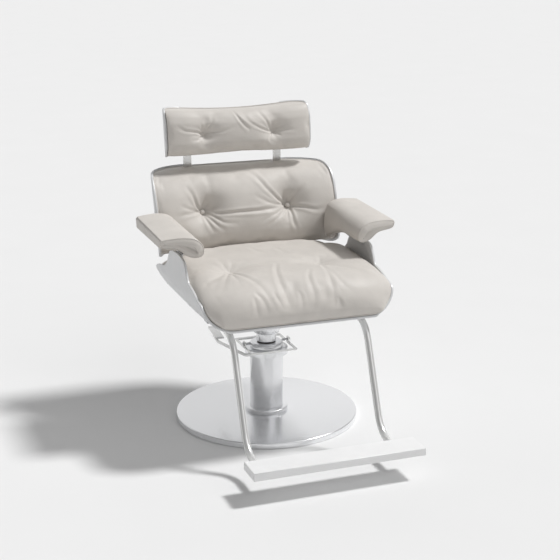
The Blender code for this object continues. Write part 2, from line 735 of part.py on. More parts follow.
def headrest_cushion(axis, half=0.2425, corner=0.066, around=11, across=9):
    behind = SHELL / 2 + 0.004
    stations = [(0.0, 0.058, 0.064), (0.06, 0.074, 0.083), (0.3, 0.089, 0.100),
                (0.7, 0.089, 0.100), (0.92, 0.076, 0.084), (1.0, 0.052, 0.058)]
    rings = []
    for share, seam, top in stations:
        reach = bent_length(seam - behind, half, corner)
        rear = [bent(a, half, corner) for a in steps(-reach, reach, around)]
        side = rear[-1][0]
        outline = [(x, behind + rise) for x, rise in rear]
        outline += [(x, seam + (top - seam) * crown(x, side))
                    for x in steps(side, -side, across)[1:-1]]
        points = []
        for x, depth in outline:
            z = headrest_z(x, share, 0.004)
            points.append((x, headrest_y(z) - depth, z))
        rings.append(points)
    lofted("headrest_cushion", rings, "leather", axis)


def back_supports(axis):
    """Braces bent up behind the back shell on rubber pads, and guides for the headrest posts."""
    lean = math.atan(BACK_LEAN)
    normal = Vector((0, math.cos(lean), -math.sin(lean)))
    corner_z = BAR_TOP + GAP + BRACE_THICK / 2
    top_z = 0.700
    for side, name in ((-1, "left"), (1, "right")):
        x = side * BRACE_X
        path = fillet([(x, -0.113, corner_z), (x, back_y(corner_z) + BRACE_OUT, corner_z),
                       (x, back_y(top_z) + BRACE_OUT, top_z)], 0.030, 5)
        swept(f"back_brace_{name}", path, (1, 0, 0), [rectangle(0.040, BRACE_THICK)],
              "brushed_steel", axis)
        pad_z = 0.630
        pad_high = BRACE_OUT * math.cos(lean) - BRACE_THICK / 2 - GAP
        pad = box(f"back_pad_{name}", (-0.016, -0.050, 0), (0.016, 0.050, pad_high - SHELL / 2 - GAP),
                  "black_rubber", axis)
        pad.location = Vector((x, back_y(pad_z), pad_z)) + normal * (pad_high + SHELL / 2 + GAP) / 2
        pad.rotation_euler = (-math.pi / 2 - lean, 0, 0)
        guide = box(f"post_guide_{name}", (-0.0168, -0.0043, -0.030), (0.0168, 0.0043, 0.030),
                    "steel", axis)
        guide.location = (side * POST_X, back_y(0.730) - POST_IN, 0.730)
        guide.rotation_euler = (-lean, 0, 0)
        slot = box(f"post_slot_{name}", (-POST_WIDTH / 2 - GAP, -POST_THICK / 2 - GAP, -0.1),
                   (POST_WIDTH / 2 + GAP, POST_THICK / 2 + GAP, 0.1), None, None)
        slot.location = guide.location
        slot.rotation_euler = guide.rotation_euler
        boolean(guide, slot, "DIFFERENCE")


def headrest_posts(axis):
    for side, name in ((-1, "left"), (1, "right")):
        x = side * POST_X
        foot, top = 0.625, 0.940
        bend_y = back_y(POST_BEND_LOW) - POST_IN
        path = fillet([(x, back_y(foot) - POST_IN, foot), (x, bend_y, POST_BEND_LOW),
                       (x, bend_y, POST_BEND_HIGH),
                       (x, bend_y + HEAD_LEAN * (top - POST_BEND_HIGH), top)], 0.040, 3)
        swept(f"headrest_post_{name}", path, (1, 0, 0), [rectangle(POST_WIDTH, POST_THICK)],
              "satin_chrome", axis)


def armrests(axis):
    """A pad on each side wall: thin at its outer edge, deep and rounded on the sitter's side."""
    section = [(0.388, 0.641), (0.388, 0.664), (0.386, 0.668), (0.381, 0.6695),
               (0.355, 0.673), (0.330, 0.6755), (0.300, 0.674), (0.280, 0.668),
               (0.265, 0.655), (0.2555, 0.638), (0.2525, 0.620), (0.257, 0.6065),
               (0.268, 0.6002), (0.286, 0.6002), (0.300, 0.6035), (0.312, 0.612),
               (0.322, 0.6205), (0.336, 0.627), (0.352, 0.6305), (0.370, 0.634),
               (0.3855, 0.6375)]
    ends = [(0.0, 0.0, 0.16), (0.0, 0.004, 0.06), (0.0, 0.011, 0.0),
            (ARM_DROP_FROM, 0.0, 0.0), (0.62, 0.0, 0.0), (0.82, 0.0, 0.0),
            (1.0, -0.011, 0.0), (1.0, -0.004, 0.06), (1.0, 0.0, 0.16)]
    for side, name in ((-1, "left"), (1, "right")):
        rings = []
        for share, step, shrink in ends:
            points = []
            for x, z in section:
                y = arm_place(x, z, share) + step
                away_x = (ARM_MIDDLE_X - x) * shrink
                away_z = (ARM_MIDDLE_Z - z) * shrink if z > ARM_MIDDLE_Z or share else 0
                points.append((side * (x + away_x), y, arm_height(x, z, share) + away_z))
            rings.append(points)
        lofted(f"armrest_{name}", rings, "leather", axis)
        flange = [(0.272, 0.5969), (0.3017, 0.5969), (0.3017, 0.578), (0.3057, 0.578),
                  (0.3057, 0.5999), (0.272, 0.5999)]
        prism(f"arm_bracket_{name}", [(side * a, b) for a, b in flange], -0.085, -0.025,
              "steel", axis, axis="Y")


def arm_place(x, z, share):
    """Where a point of the section lies along Y, from the front (share 0) to the rear (1)."""
    reach = (ARM_OUTER - x) / ARM_WIDE
    under = max(ARM_SEAM_Z - z, 0)
    lean = ARM_FRONT_LEAN + (ARM_INNER_LEAN - ARM_FRONT_LEAN) * reach
    front = ARM_FRONT - ARM_FRONT_SKEW * reach + under * lean
    rear = ARM_REAR - ARM_REAR_SKEW * reach - ARM_REAR_LEAN * under
    return front + (rear - front) * share


def arm_height(x, z, share):
    """The top falls a little towards the front, and the inner side deepens towards the rear."""
    tilt = (ARM_FRONT_FALL + ARM_REAR_RISE) * share - ARM_FRONT_FALL
    tilt *= max(z - ARM_MIDDLE_Z, 0) / ARM_UPPER
    inner = min(max((ARM_MIDDLE_X - x) / ARM_INNER, 0), 1)
    below = min(max((ARM_SEAM_Z - z) / ARM_LOWER, 0), 1)
    late = max((share - ARM_DROP_FROM) / (1 - ARM_DROP_FROM), 0)
    return z + tilt - ARM_DROP * late ** 1.5 * inner * below


def main():
    clear_scene()
    lift = empty("lift_axis", (0, 0, RAM_SHOULDER))
    swivel = empty("swivel_axis", (0, 0, RAM_SHOULDER), lift)
    headrest = empty("headrest_axis", (0, back_y(BACK_TOP) - POST_IN, BACK_TOP), swivel)
    pedal = empty("pedal_axis", (0, 0, PIVOT_Z))
    plunger = empty("plunger_axis", (0, PLUNGER_Y, YOKE_LOW))
    base_pieces()
    pump_pieces()
    plunger_pieces(plunger)
    pedal_pieces(pedal)
    ram_pieces(lift)
    hub_and_frame(swivel)
    footrest(swivel)
    shell("seat_shell", seat_shell_grid(), "shell_lacquer", swivel)
    seat_cushion(swivel)
    shell("back_shell", back_shell_grid(), "shell_lacquer", swivel)
    back_cushion(swivel)
    back_supports(swivel)
    armrests(swivel)
    headrest_posts(headrest)
    shell("headrest_shell", headrest_shell_grid(), "shell_lacquer", headrest)
    headrest_cushion(headrest)


main()
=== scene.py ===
"""The looks of the hydraulic barber chair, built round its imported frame. Metres, the sitter facing -Y."""

import math

import bmesh
import bpy
import numpy as np
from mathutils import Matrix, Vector, noise


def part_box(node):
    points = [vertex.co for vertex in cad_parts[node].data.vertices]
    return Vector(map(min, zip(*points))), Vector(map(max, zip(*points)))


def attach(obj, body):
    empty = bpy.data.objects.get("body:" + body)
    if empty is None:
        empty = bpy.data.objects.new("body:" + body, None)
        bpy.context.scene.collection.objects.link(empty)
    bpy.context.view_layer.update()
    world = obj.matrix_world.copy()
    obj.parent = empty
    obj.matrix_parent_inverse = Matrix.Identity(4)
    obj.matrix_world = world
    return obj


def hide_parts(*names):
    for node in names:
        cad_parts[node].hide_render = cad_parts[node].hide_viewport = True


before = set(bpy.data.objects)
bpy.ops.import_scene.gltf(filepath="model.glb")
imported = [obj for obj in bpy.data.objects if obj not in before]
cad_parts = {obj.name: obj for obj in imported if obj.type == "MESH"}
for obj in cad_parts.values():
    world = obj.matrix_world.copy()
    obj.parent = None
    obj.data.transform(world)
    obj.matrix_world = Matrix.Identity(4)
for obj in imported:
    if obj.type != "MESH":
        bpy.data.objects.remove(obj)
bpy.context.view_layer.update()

# Shells: a flat middle turns up into two side walls
SHELL = 0.008
RIM_ROUND = 0.003       # how far the rounded rim stands out from the sheet's last row
RIM_SQUARE = 0.55       # 1 would be an elliptical rim, less is squarer
RIM_ANGLES = (75, 60, 45, 25, 0, -25, -45, -60, -75)
SHELL_COLUMNS = 121
SEAT_ROWS = 110
BACK_ROWS = 80
HEADREST_ROWS = 60
SEAT_HALF = 0.310
SEAT_CORNER = 0.090
SEAT_BOTTOM = 0.4075
SEAT_REAR = 0.230
SEAT_FRONT = -0.350
SEAT_FRONT_BEND = (-0.14, 0.196)  # where its underside starts to rise towards the front, and how fast
SEAT_REAR_BEND = (0.12, 1.06)
BACK_HALF = 0.3135
BACK_CORNER = 0.148
BACK_LEAN = 0.318       # run over rise
BACK_TOP = 0.7905
BACK_TOP_Y = 0.3567
HEAD_LEAN = 0.150
HEADREST_LOW = 0.8340
HEADREST_HIGH = 0.9920
HEADREST_HALF = 0.2515
HEADREST_CORNER = 0.075
HEADREST_DIP = 0.014
HEADREST_ARCH = 0.006
POST_IN = 0.0108
HEADREST_IN = 0.007     # how far the headrest's shell lies in front of its posts
POST_BEND_LOW = 0.770
POST_BEND_HIGH = 0.835

SEAT_WALL = [  # (y, height of the rim)
    (-0.350, 0.424), (-0.339, 0.4255), (-0.331, 0.430), (-0.321, 0.448), (-0.313, 0.468),
    (-0.305, 0.487), (-0.295, 0.498), (-0.270, 0.504), (-0.230, 0.517), (-0.204, 0.524),
    (-0.168, 0.533), (-0.157, 0.549), (-0.147, 0.566), (-0.133, 0.584), (-0.118, 0.591),
    (-0.072, 0.5965), (-0.002, 0.592), (0.028, 0.583), (0.042, 0.568), (0.053, 0.550),
    (0.070, 0.534), (0.105, 0.517), (0.165, 0.506), (0.210, 0.490), (0.230, 0.473),
]
BACK_WALL = [  # (z, depth of the rim in front of the sheet's middle)
    (0.525, 0.085), (0.529, 0.105), (0.536, 0.122), (0.548, 0.138), (0.568, 0.146),
    (0.600, 0.150), (0.640, 0.152), (0.683, 0.152), (0.713, 0.149), (0.728, 0.147),
    (0.743, 0.1425), (0.757, 0.135), (0.769, 0.124), (0.779, 0.109), (0.786, 0.092),
    (0.7905, 0.064),
]
HEADREST_WALL = [  # (share of the height, depth of the rim)
    (0.0, 0.054), (0.04, 0.064), (0.1, 0.0695), (0.25, 0.080), (0.5, 0.083),
    (0.7, 0.083), (0.88, 0.073), (0.94, 0.068), (1.0, 0.050),
]

# Cushions: (side place, side height, middle place, middle height, fullness) from one end to the other
SEAT_PAD = [
    (-0.3500, 0.4335, -0.3500, 0.4335, 0.0),
    (-0.3490, 0.4345, -0.3560, 0.4440, 0.75),
    (-0.3450, 0.4360, -0.3590, 0.4600, 1.0),
    (-0.3380, 0.4400, -0.3560, 0.4850, 1.0),
    (-0.3290, 0.4490, -0.3440, 0.5100, 1.0),
    (-0.3160, 0.4680, -0.3260, 0.5280, 1.0),
    (-0.3000, 0.4860, -0.3000, 0.5400, 1.0),
    (-0.2400, 0.5050, -0.2400, 0.5490, 1.0),
    (-0.1200, 0.5240, -0.1200, 0.5510, 1.0),
    (0.0200, 0.5300, 0.0200, 0.5510, 1.0),
    (0.1000, 0.5200, 0.1000, 0.5500, 1.0),
    (0.1500, 0.5000, 0.1500, 0.5480, 1.0),
    (0.1800, 0.4850, 0.1830, 0.5360, 1.0),
    (0.1980, 0.4730, 0.2020, 0.5080, 1.0),
    (0.2040, 0.4690, 0.2060, 0.4780, 0.55),
    (0.2060, 0.4670, 0.2060, 0.4670, 0.0),
]
SEAT_PAD_HALF = 0.3045
SEAT_PAD_CORNER = 0.0845
SEAT_PAD_LIFT = 0.0115  # its underside above the shell's underside
BACK_PAD = [
    (0.5340, 0.0960, 0.5340, 0.0880, 0.0),
    (0.5350, 0.1030, 0.5290, 0.0920, 0.55),
    (0.5400, 0.1120, 0.5320, 0.1060, 0.88),
    (0.5480, 0.1250, 0.5410, 0.1150, 1.0),
    (0.5700, 0.1390, 0.5640, 0.1290, 1.0),
    (0.6000, 0.1460, 0.5950, 0.1420, 1.0),
    (0.6350, 0.1490, 0.6350, 0.1500, 1.0),
    (0.6700, 0.1490, 0.6700, 0.1500, 1.0),
    (0.7100, 0.1460, 0.7100, 0.1470, 1.0),
    (0.7400, 0.1390, 0.7400, 0.1380, 1.0),
    (0.7580, 0.1290, 0.7600, 0.1260, 1.0),
    (0.7720, 0.1120, 0.7760, 0.1060, 0.98),
    (0.7810, 0.0940, 0.7850, 0.0840, 0.85),
    (0.7850, 0.0790, 0.7880, 0.0650, 0.50),
    (0.7860, 0.0700, 0.7860, 0.0700, 0.0),
]
BACK_PAD_HALF = 0.3085
BACK_PAD_CORNER = 0.1430
BACK_PAD_LIFT = 0.0060
HEAD_PAD = [
    (0.000, 0.0560, 0.000, 0.0560, 0.0),
    (0.004, 0.0580, -0.020, 0.0600, 0.60),
    (0.020, 0.0630, -0.010, 0.0740, 0.95),
    (0.060, 0.0740, 0.050, 0.0860, 1.0),
    (0.160, 0.0840, 0.160, 0.0960, 1.0),
    (0.300, 0.0890, 0.300, 0.1000, 1.0),
    (0.700, 0.0890, 0.700, 0.1000, 1.0),
    (0.840, 0.0830, 0.850, 0.0940, 1.0),
    (0.930, 0.0750, 0.950, 0.0830, 1.0),
    (0.975, 0.0650, 1.005, 0.0670, 0.95),
    (0.993, 0.0570, 1.010, 0.0520, 0.60),
    (1.000, 0.0540, 1.000, 0.0540, 0.0),
]
HEAD_PAD_HALF = 0.2465
HEAD_PAD_CORNER = 0.070
HEAD_PAD_LIFT = 0.0055
HEAD_PAD_INSET = 0.0025

EVEN_SHARE = 0.45       # a cushion's columns: part evenly spread,
SIDE_SHARE = 0.55       # part crowded towards its sides
CROWN_POWER = 4         # 2 would be a half ellipse across it, more is flatter
BULGE_END = 1.6         # its sides bulge over the rim only where the crown is under 1 / BULGE_END

PIPING_R = 0.0016
PIPING_STEP = 0.0035    # distance between its points
PIPING_SIDES = 10

# Tufts: (across, along, depth, radius, radius of the round bottom)
BACK_TUFTS = [(-0.150, 0.668, 0.034, 0.024, 0.010), (0.150, 0.668, 0.034, 0.024, 0.010),
              (-0.137, 0.686, 0.022, 0.025, 0.012), (0.143, 0.688, 0.024, 0.028, 0.012)]
HEAD_TUFTS = [(-0.121, 0.908, 0.025, 0.018, 0.004), (0.121, 0.908, 0.025, 0.018, 0.004),
              (-0.116, 0.918, 0.008, 0.022, 0.008), (0.128, 0.922, 0.011, 0.026, 0.008)]
SEAT_TUFTS = [(-0.164, 0.309, 0.012, 0.040, 0.006), (0.130, 0.305, 0.012, 0.040, 0.006)]

TUFT_CLEAR = 0.009      # creases fade out this close to a tuft's middle
TUFT_HELD = 0.008       # the cloth is held within this distance of a tuft's middle
CREASE_SHARP = 1.4      # 2 would be a bell curve, less has a sharper bottom
CREASE_NARROW = 0.6     # its width where it starts, over its given width
CREASE_WIDEN = 0.6      # and how much that grows until it ends
RIDGE = 0.45            # height of a crease's ridges over its depth
RIDGE_AWAY = 2.1        # widths from the crease to a ridge
RIDGE_WIDE = 1.1        # widths of a ridge
LUMP_SIZE = 0.05        # slow bumps of the hand-stuffed covers
LUMP_HEIGHT = 0.0008
FINER = 3               # steps of a cushion's surface over one step of its cloth
CLOTH_FRAMES = 20
CLOTH_GROWTH = 0.01
CLOTH_PRESSURE = 3.0

# Creases: (depth, width, fades at both ends, points across and along)
SEAT_CREASES = [
    (0.0026, 0.0078, 1, [(-0.013, 0.306), (-0.048, 0.209), (-0.062, 0.131), (-0.055, 0.089),
                         (-0.046, 0.044)]),
    (0.0018, 0.0072, 1, [(0.065, 0.220), (0.033, 0.139), (0.033, 0.089), (0.026, 0.044)]),
    (0.0024, 0.0072, 0, [(0.110, 0.233), (0.105, 0.181), (0.098, 0.109), (0.096, 0.072), (0.091, 0.036)]),
    (0.0022, 0.0072, 0, [(0.121, 0.258), (0.113, 0.200), (0.131, 0.117), (0.174, 0.069)]),
    (0.0013, 0.0065, 1, [(0.110, 0.072), (0.116, 0.033)]),
    (0.0011, 0.0065, 1, [(-0.015, 0.106), (-0.009, 0.086), (-0.011, 0.047)]),
    (0.0017, 0.0065, 1, [(-0.095, 0.109), (-0.086, 0.086), (-0.066, 0.044)]),
    (0.0025, 0.0078, 0, [(-0.163, 0.295), (-0.156, 0.225), (-0.128, 0.139), (-0.113, 0.094),
                         (-0.105, 0.039)]),
    (0.0018, 0.0065, 1, [(-0.151, 0.117), (-0.133, 0.089), (-0.119, 0.041)]),
    (0.0015, 0.0065, 1, [(-0.157, 0.097), (-0.155, 0.069), (-0.152, 0.033)]),
    (0.0022, 0.0078, 0, [(-0.176, 0.286), (-0.223, 0.184), (-0.253, 0.128)]),
    (0.0020, 0.0091, 0, [(-0.163, 0.320), (-0.150, 0.345), (-0.127, 0.397)]),
    (0.0022, 0.0091, 0, [(-0.168, 0.320), (-0.171, 0.361), (-0.173, 0.442)]),
    (0.0020, 0.0072, 0, [(-0.176, 0.264), (-0.178, 0.195), (-0.183, 0.142)]),
    (0.0017, 0.0078, 0, [(-0.176, 0.306), (-0.208, 0.311), (-0.235, 0.342)]),
    (0.0017, 0.0091, 0, [(-0.161, 0.317), (-0.135, 0.325), (-0.102, 0.345)]),
    (0.0012, 0.0091, 1, [(-0.034, 0.517), (-0.025, 0.461), (-0.010, 0.417)]),
    (0.0011, 0.0091, 1, [(0.045, 0.483), (0.054, 0.392)]),
    (0.0017, 0.0078, 0, [(0.137, 0.308), (0.188, 0.303)]),
    (0.0016, 0.0078, 0, [(0.127, 0.308), (0.045, 0.236)]),
    (0.0016, 0.0078, 0, [(0.137, 0.317), (0.153, 0.372)]),
]
BACK_CREASES = [
    (0.0042, 0.0055, 1, [(-0.147, 0.665), (-0.117, 0.657), (-0.058, 0.655), (0.037, 0.655),
                         (0.123, 0.665), (0.145, 0.668)]),
    (0.0050, 0.0055, 0, [(-0.158, 0.676), (-0.170, 0.686), (-0.188, 0.723), (-0.206, 0.749)]),
    (0.0030, 0.0080, 0, [(-0.147, 0.676), (-0.136, 0.702), (-0.109, 0.718)]),
    (0.0050, 0.0055, 0, [(-0.150, 0.660), (-0.137, 0.623), (-0.123, 0.594)]),
    (0.0050, 0.0055, 0, [(-0.145, 0.660), (-0.115, 0.623), (-0.084, 0.597)]),
    (0.0045, 0.0055, 0, [(-0.142, 0.663), (-0.117, 0.647), (-0.087, 0.626), (-0.040, 0.620)]),
    (0.0035, 0.0055, 0, [(-0.163, 0.668), (-0.199, 0.665), (-0.254, 0.655)]),
    (0.0035, 0.0055, 0, [(-0.163, 0.670), (-0.199, 0.676), (-0.236, 0.692)]),
    (0.0050, 0.0060, 0, [(0.139, 0.673), (0.115, 0.686), (0.069, 0.723), (0.043, 0.758), (0.004, 0.783)]),
    (0.0038, 0.0055, 0, [(0.139, 0.670), (0.089, 0.673), (0.049, 0.689), (0.019, 0.707)]),
    (0.0050, 0.0055, 0, [(0.155, 0.660), (0.155, 0.618), (0.168, 0.573)]),
    (0.0038, 0.0055, 0, [(0.147, 0.657), (0.139, 0.634), (0.134, 0.610)]),
    (0.0040, 0.0065, 0, [(0.155, 0.676), (0.173, 0.697), (0.213, 0.730)]),
    (0.0042, 0.0055, 0, [(0.158, 0.665), (0.195, 0.657), (0.242, 0.644), (0.271, 0.652)]),
    (0.0045, 0.0055, 0, [(0.142, 0.660), (0.095, 0.626), (0.061, 0.602)]),
    (0.0030, 0.0060, 0, [(0.147, 0.678), (0.142, 0.694), (0.139, 0.715)]),
    (0.0035, 0.0055, 0, [(0.139, 0.663), (0.081, 0.636), (0.031, 0.618)]),
]
HEAD_CREASES = [
    (0.0034, 0.0045, 0, [(-0.132, 0.910), (-0.155, 0.917), (-0.189, 0.921), (-0.221, 0.940)]),
    (0.0020, 0.0040, 0, [(-0.127, 0.918), (-0.137, 0.951)]),
    (0.0028, 0.0045, 0, [(-0.122, 0.919), (-0.105, 0.934), (-0.094, 0.954), (-0.094, 0.970)]),
    (0.0034, 0.0045, 1, [(-0.018, 0.976), (0.001, 0.944), (0.032, 0.912)]),
    (0.0034, 0.0045, 0, [(0.110, 0.910), (0.100, 0.927), (0.081, 0.954), (0.063, 0.974)]),
    (0.0032, 0.0045, 0, [(0.107, 0.905), (0.068, 0.918), (0.029, 0.942), (0.013, 0.968)]),
    (0.0026, 0.0040, 0, [(0.125, 0.901), (0.148, 0.886)]),
    (0.0024, 0.0040, 0, [(-0.130, 0.904), (-0.151, 0.890), (-0.173, 0.889)]),
    (0.0022, 0.0045, 0, [(-0.115, 0.913), (-0.073, 0.914), (-0.015, 0.928)]),
    (0.0020, 0.0045, 0, [(0.130, 0.902), (0.164, 0.906), (0.201, 0.907)]),
    (0.0022, 0.0040, 0, [(0.112, 0.899), (0.102, 0.878), (0.117, 0.866)]),
]

# Armrest: its section (x, z), from the outer lower edge round to it again
ARM_SECTION = [
    (0.3885, 0.638), (0.3885, 0.664), (0.3865, 0.668), (0.381, 0.6695), (0.355, 0.673),
    (0.330, 0.6755), (0.300, 0.674), (0.280, 0.668), (0.265, 0.655), (0.2555, 0.638),
    (0.2525, 0.620), (0.257, 0.6065), (0.268, 0.6002), (0.286, 0.6002), (0.300, 0.6035),
    (0.312, 0.612), (0.320, 0.6215), (0.331, 0.629), (0.350, 0.6315), (0.370, 0.633),
    (0.3865, 0.6355),
]
ARM_FRONT = -0.142
ARM_REAR = 0.160
ARM_OUTER = 0.388
ARM_WIDE = 0.1355
ARM_MIDDLE_X = 0.312
ARM_MIDDLE_Z = 0.640
ARM_UPPER = 0.035       # from its middle to its top
ARM_FRONT_SKEW = 0.022  # its inner side starts this much further forward
ARM_REAR_SKEW = 0.012   # and ends this much sooner
ARM_FRONT_LEAN = 0.40   # run over rise of its front below the seam, at its outer side
ARM_INNER_LEAN = 0.16   # and at its inner side
ARM_REAR_LEAN = 0.35
ARM_FRONT_FALL = 0.006  # its top is this much lower at the front
ARM_REAR_RISE = 0.004   # and this much higher at the rear
ARM_DROP = 0.046        # its inner side is this much deeper at the rear
ARM_DROP_FROM = 0.46    # share of its length at which that starts
ARM_INNER = 0.040       # width of the deeper part's flank
ARM_LOWER = 0.055       # depth over which it comes in
ARM_SOFT = 0.362        # inwards of this its edges are rounded, outwards they are crisp
ARM_EASINGS = 26        # times the rounded edges are eased
ARM_CRISP_EASINGS = 2   # and the crisp ones
ARM_HEART = [  # middle line of the section
    (0.374, 0.651), (0.345, 0.6495), (0.310, 0.640), (0.288, 0.630), (0.274, 0.619),
]
ARM_SEAM_Z = 0.660
ARM_SEAM = (0.3865, 0.6675)  # where the top panel meets the side band
ARM_GROOVE = 0.0016     # how far the seam lies in, both ways
ARM_ROUND = 0.007       # radius of its ends' edges
ARM_DOME = 0.0020       # how far the middle of an end stands out
ARM_DOME_EDGE = 0.015   # that starts to fall off this far in from its edges
ARM_CAP = 0.026         # how far in from its edges the innermost ring of an end lies
ARM_PIPING_IN = 0.25 * ARM_ROUND
ARM_SHRINK_MOST = 0.985  # no ring is drawn in further than this share of the way to the heart

# Covered buttons: (radius, height), from the middle of the front to the middle of the rear
BUTTON_PROFILE = [
    (0.0, 0.0052), (0.0028, 0.0050), (0.0053, 0.0042), (0.0071, 0.0028),
    (0.0081, 0.0010), (0.0083, -0.0006), (0.0078, -0.0022), (0.0, -0.0026),
]
BUTTON_SIDES = 28
BUTTON_PLEATS = 7
BUTTON_PLEAT = 0.0002 / 0.0073  # depth of a pleat over its distance from the middle

EDGE_ROUND = 0.0006     # radius of the edges of the CAD pieces
EDGE_ANGLE = 38         # sharper ones than this are rounded, in degrees

MIX_FACTOR = 0          # a Mix node's sockets when it mixes colours
MIX_A = 6
MIX_B = 7
MIX_RESULT = 2

# Camera, light and floor
CAMERA_AT = (-1.3485, -3.8010, 1.6368)
CAMERA_TO = (0.0480, 0.0, 0.4588)
LENS = 83.2
LIGHTS = [  # (name, from, power, apparent size in degrees)
    ("key", (0.635, -0.08, 1.0), 2.46, 9),
    ("fill", (0.35, -0.75, 0.80), 0.43, 50),
]
SKY_FRONT = 0.23        # light from the camera's side of the studio
SKY_BACK = 0.80         # and from the bright wall behind the chair
SKY_TURN = (0.15, 0.95)  # where, front to back, the one passes into the other
FLOOR_SIDE = 60.0


def bent(along, half, corner):
    """Where a sheet's points lie, (x, rise), at these distances along it from the middle."""
    length = np.abs(along)
    angle = np.clip((length - half + corner) / corner, 0, math.pi / 2)
    wall = np.maximum(length - half + corner - corner * math.pi / 2, 0)
    x = np.minimum(length, half - corner) + corner * np.sin(angle)
    return np.copysign(x, along), corner * (1 - np.cos(angle)) + wall


def bent_length(rise, half, corner):
    """The distance along the sheet at which it has risen this far."""
    turn = math.acos(max(1 - rise / corner, 0))
    return half - corner + corner * turn + max(rise - corner, 0)


def seat_underside(y):
    front, front_rise = SEAT_FRONT_BEND
    rear, rear_rise = SEAT_REAR_BEND
    return SEAT_BOTTOM + front_rise * max(front - y, 0) ** 2 + rear_rise * max(y - rear, 0) ** 2


def back_y(z):
    return BACK_TOP_Y - BACK_LEAN * (BACK_TOP - z)


def headrest_y(z):
    return back_y(POST_BEND_LOW) - POST_IN - HEADREST_IN + HEAD_LEAN * (z - POST_BEND_HIGH)


def headrest_z(x, share, inset):
    low = HEADREST_LOW + inset
    high = HEADREST_HIGH - inset
    bow = HEADREST_ARCH * (1 - share) - HEADREST_DIP * share
    return low + share * (high - low) + bow * np.cos(math.pi / 2 * x / HEADREST_HALF)


def on_seat(x, y, height):
    return np.stack([x, y + 0 * x, height + 0 * x], axis=-1)


def on_back(x, z, depth):
    return np.stack([x, back_y(z) - depth + 0 * x, z + 0 * x], axis=-1)


def on_headrest(x, share, depth, inset=HEAD_PAD_INSET):
    z = headrest_z(x, share, inset)
    return np.stack([x, headrest_y(z) - depth, z], axis=-1)


def smooth_through(places, rows, wanted):
    """Rows of numbers at the wanted places, on a smooth curve that doesn't overshoot the given rows."""
    places = np.asarray(places, float)
    rows = np.asarray(rows, float)
    gap = np.diff(places)[:, None]
    slope = np.diff(rows, axis=0) / gap
    product = slope[:-1] * slope[1:]
    total = slope[:-1] + slope[1:]
    inner = np.where(product > 0, 2 * product / np.where(product > 0, total, 1), 0)
    tangent = np.vstack([slope[:1], inner, slope[-1:]])
    i = np.clip(np.searchsorted(places, wanted) - 1, 0, len(gap) - 1)
    f = ((wanted - places[i]) / gap[i, 0])[:, None]
    h = gap[i]
    ahead = (3 - 2 * f) * f * f
    leave = ((f - 2) * f + 1) * f
    arrive = (f - 1) * f * f
    return rows[i] * (1 - ahead) + rows[i + 1] * ahead + h * (tangent[i] * leave + tangent[i + 1] * arrive)


def resampled(stations, count, columns=(0, 1)):
    """count rows between these stations, evenly spaced along the curve of the chosen columns."""
    rows = np.array(stations, float)
    run = run_along(rows[:, list(columns)])
    return smooth_through(run, rows, np.linspace(0, run[-1], count))


def unit(vectors):
    return vectors / np.maximum(np.linalg.norm(vectors, axis=-1, keepdims=True), 1e-12)


def run_along(points):
    """Each point's distance from the first one, along the line through them."""
    return np.concatenate([[0], np.cumsum(np.linalg.norm(np.diff(points, axis=0), axis=1))])


def eased(loop):
    """A closed loop of points with its corners rounded by one step."""
    return (np.roll(loop, 1, axis=0) + 2 * loop + np.roll(loop, -1, axis=0)) / 4


def grid_normals(grid):
    return unit(np.cross(np.gradient(grid, axis=1), np.gradient(grid, axis=0)))


def ring_of(rows, columns):
    """The (rows, columns) of the places round the edge of a grid, as one closed loop."""
    loop = [(0, j) for j in range(columns)]
    loop += [(i, columns - 1) for i in range(1, rows)]
    loop += [(rows - 1, j) for j in range(columns - 2, -1, -1)]
    loop += [(i, 0) for i in range(rows - 2, 0, -1)]
    return tuple(np.array(loop).T)


def quads(index):
    """Faces over a grid of vertex numbers."""
    corners = [index[:-1, :-1], index[:-1, 1:], index[1:, 1:], index[1:, :-1]]
    return np.stack(corners, axis=-1).reshape(-1, 4)


def new_mesh(name, points, faces, finish, body):
    """A smooth piece with this finish that rides on a body."""
    data = bpy.data.meshes.new(name)
    data.from_pydata(np.asarray(points).tolist(), [], [tuple(face) for face in faces])
    turn_outwards(data)
    data.shade_smooth()
    data.materials.append(MATERIALS[finish])
    piece = bpy.data.objects.new(name, data)
    bpy.context.scene.collection.objects.link(piece)
    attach(piece, body)
    return piece


def turn_outwards(data):
    """Turns every face of a closed mesh outwards."""
    mesh = bmesh.new()
    mesh.from_mesh(data)
    bmesh.ops.recalc_face_normals(mesh, faces=mesh.faces)
    mesh.to_mesh(data)
    mesh.free()


def between_grids(upper, lower, rings=()):
    """Points and faces of a closed form: two grids whose edges meet, or are joined through rings."""
    rows, columns = upper.shape[:2]
    count = rows * columns
    top = np.arange(count).reshape(rows, columns)
    loop = ring_of(rows, columns)
    bottom = top + count
    points = [upper.reshape(-1, 3), lower.reshape(-1, 3)]
    bands = [top[loop]]
    start = 2 * count
    for band in rings:
        bands.append(np.arange(start, start + len(band)))
        points.append(band)
        start += len(band)
    if rings:
        bands.append(bottom[loop])
    else:
        bottom[loop] = top[loop]
    faces = [quads(top), quads(bottom)[:, ::-1]]
    for first, second in zip(bands, bands[1:]):
        faces.append(np.stack([first, second, np.roll(second, -1), np.roll(first, -1)], axis=-1))
    points = np.concatenate(points)
    faces = np.concatenate(faces)
    used, renumbered = np.unique(faces, return_inverse=True)
    return points[used], renumbered.reshape(-1, 4)


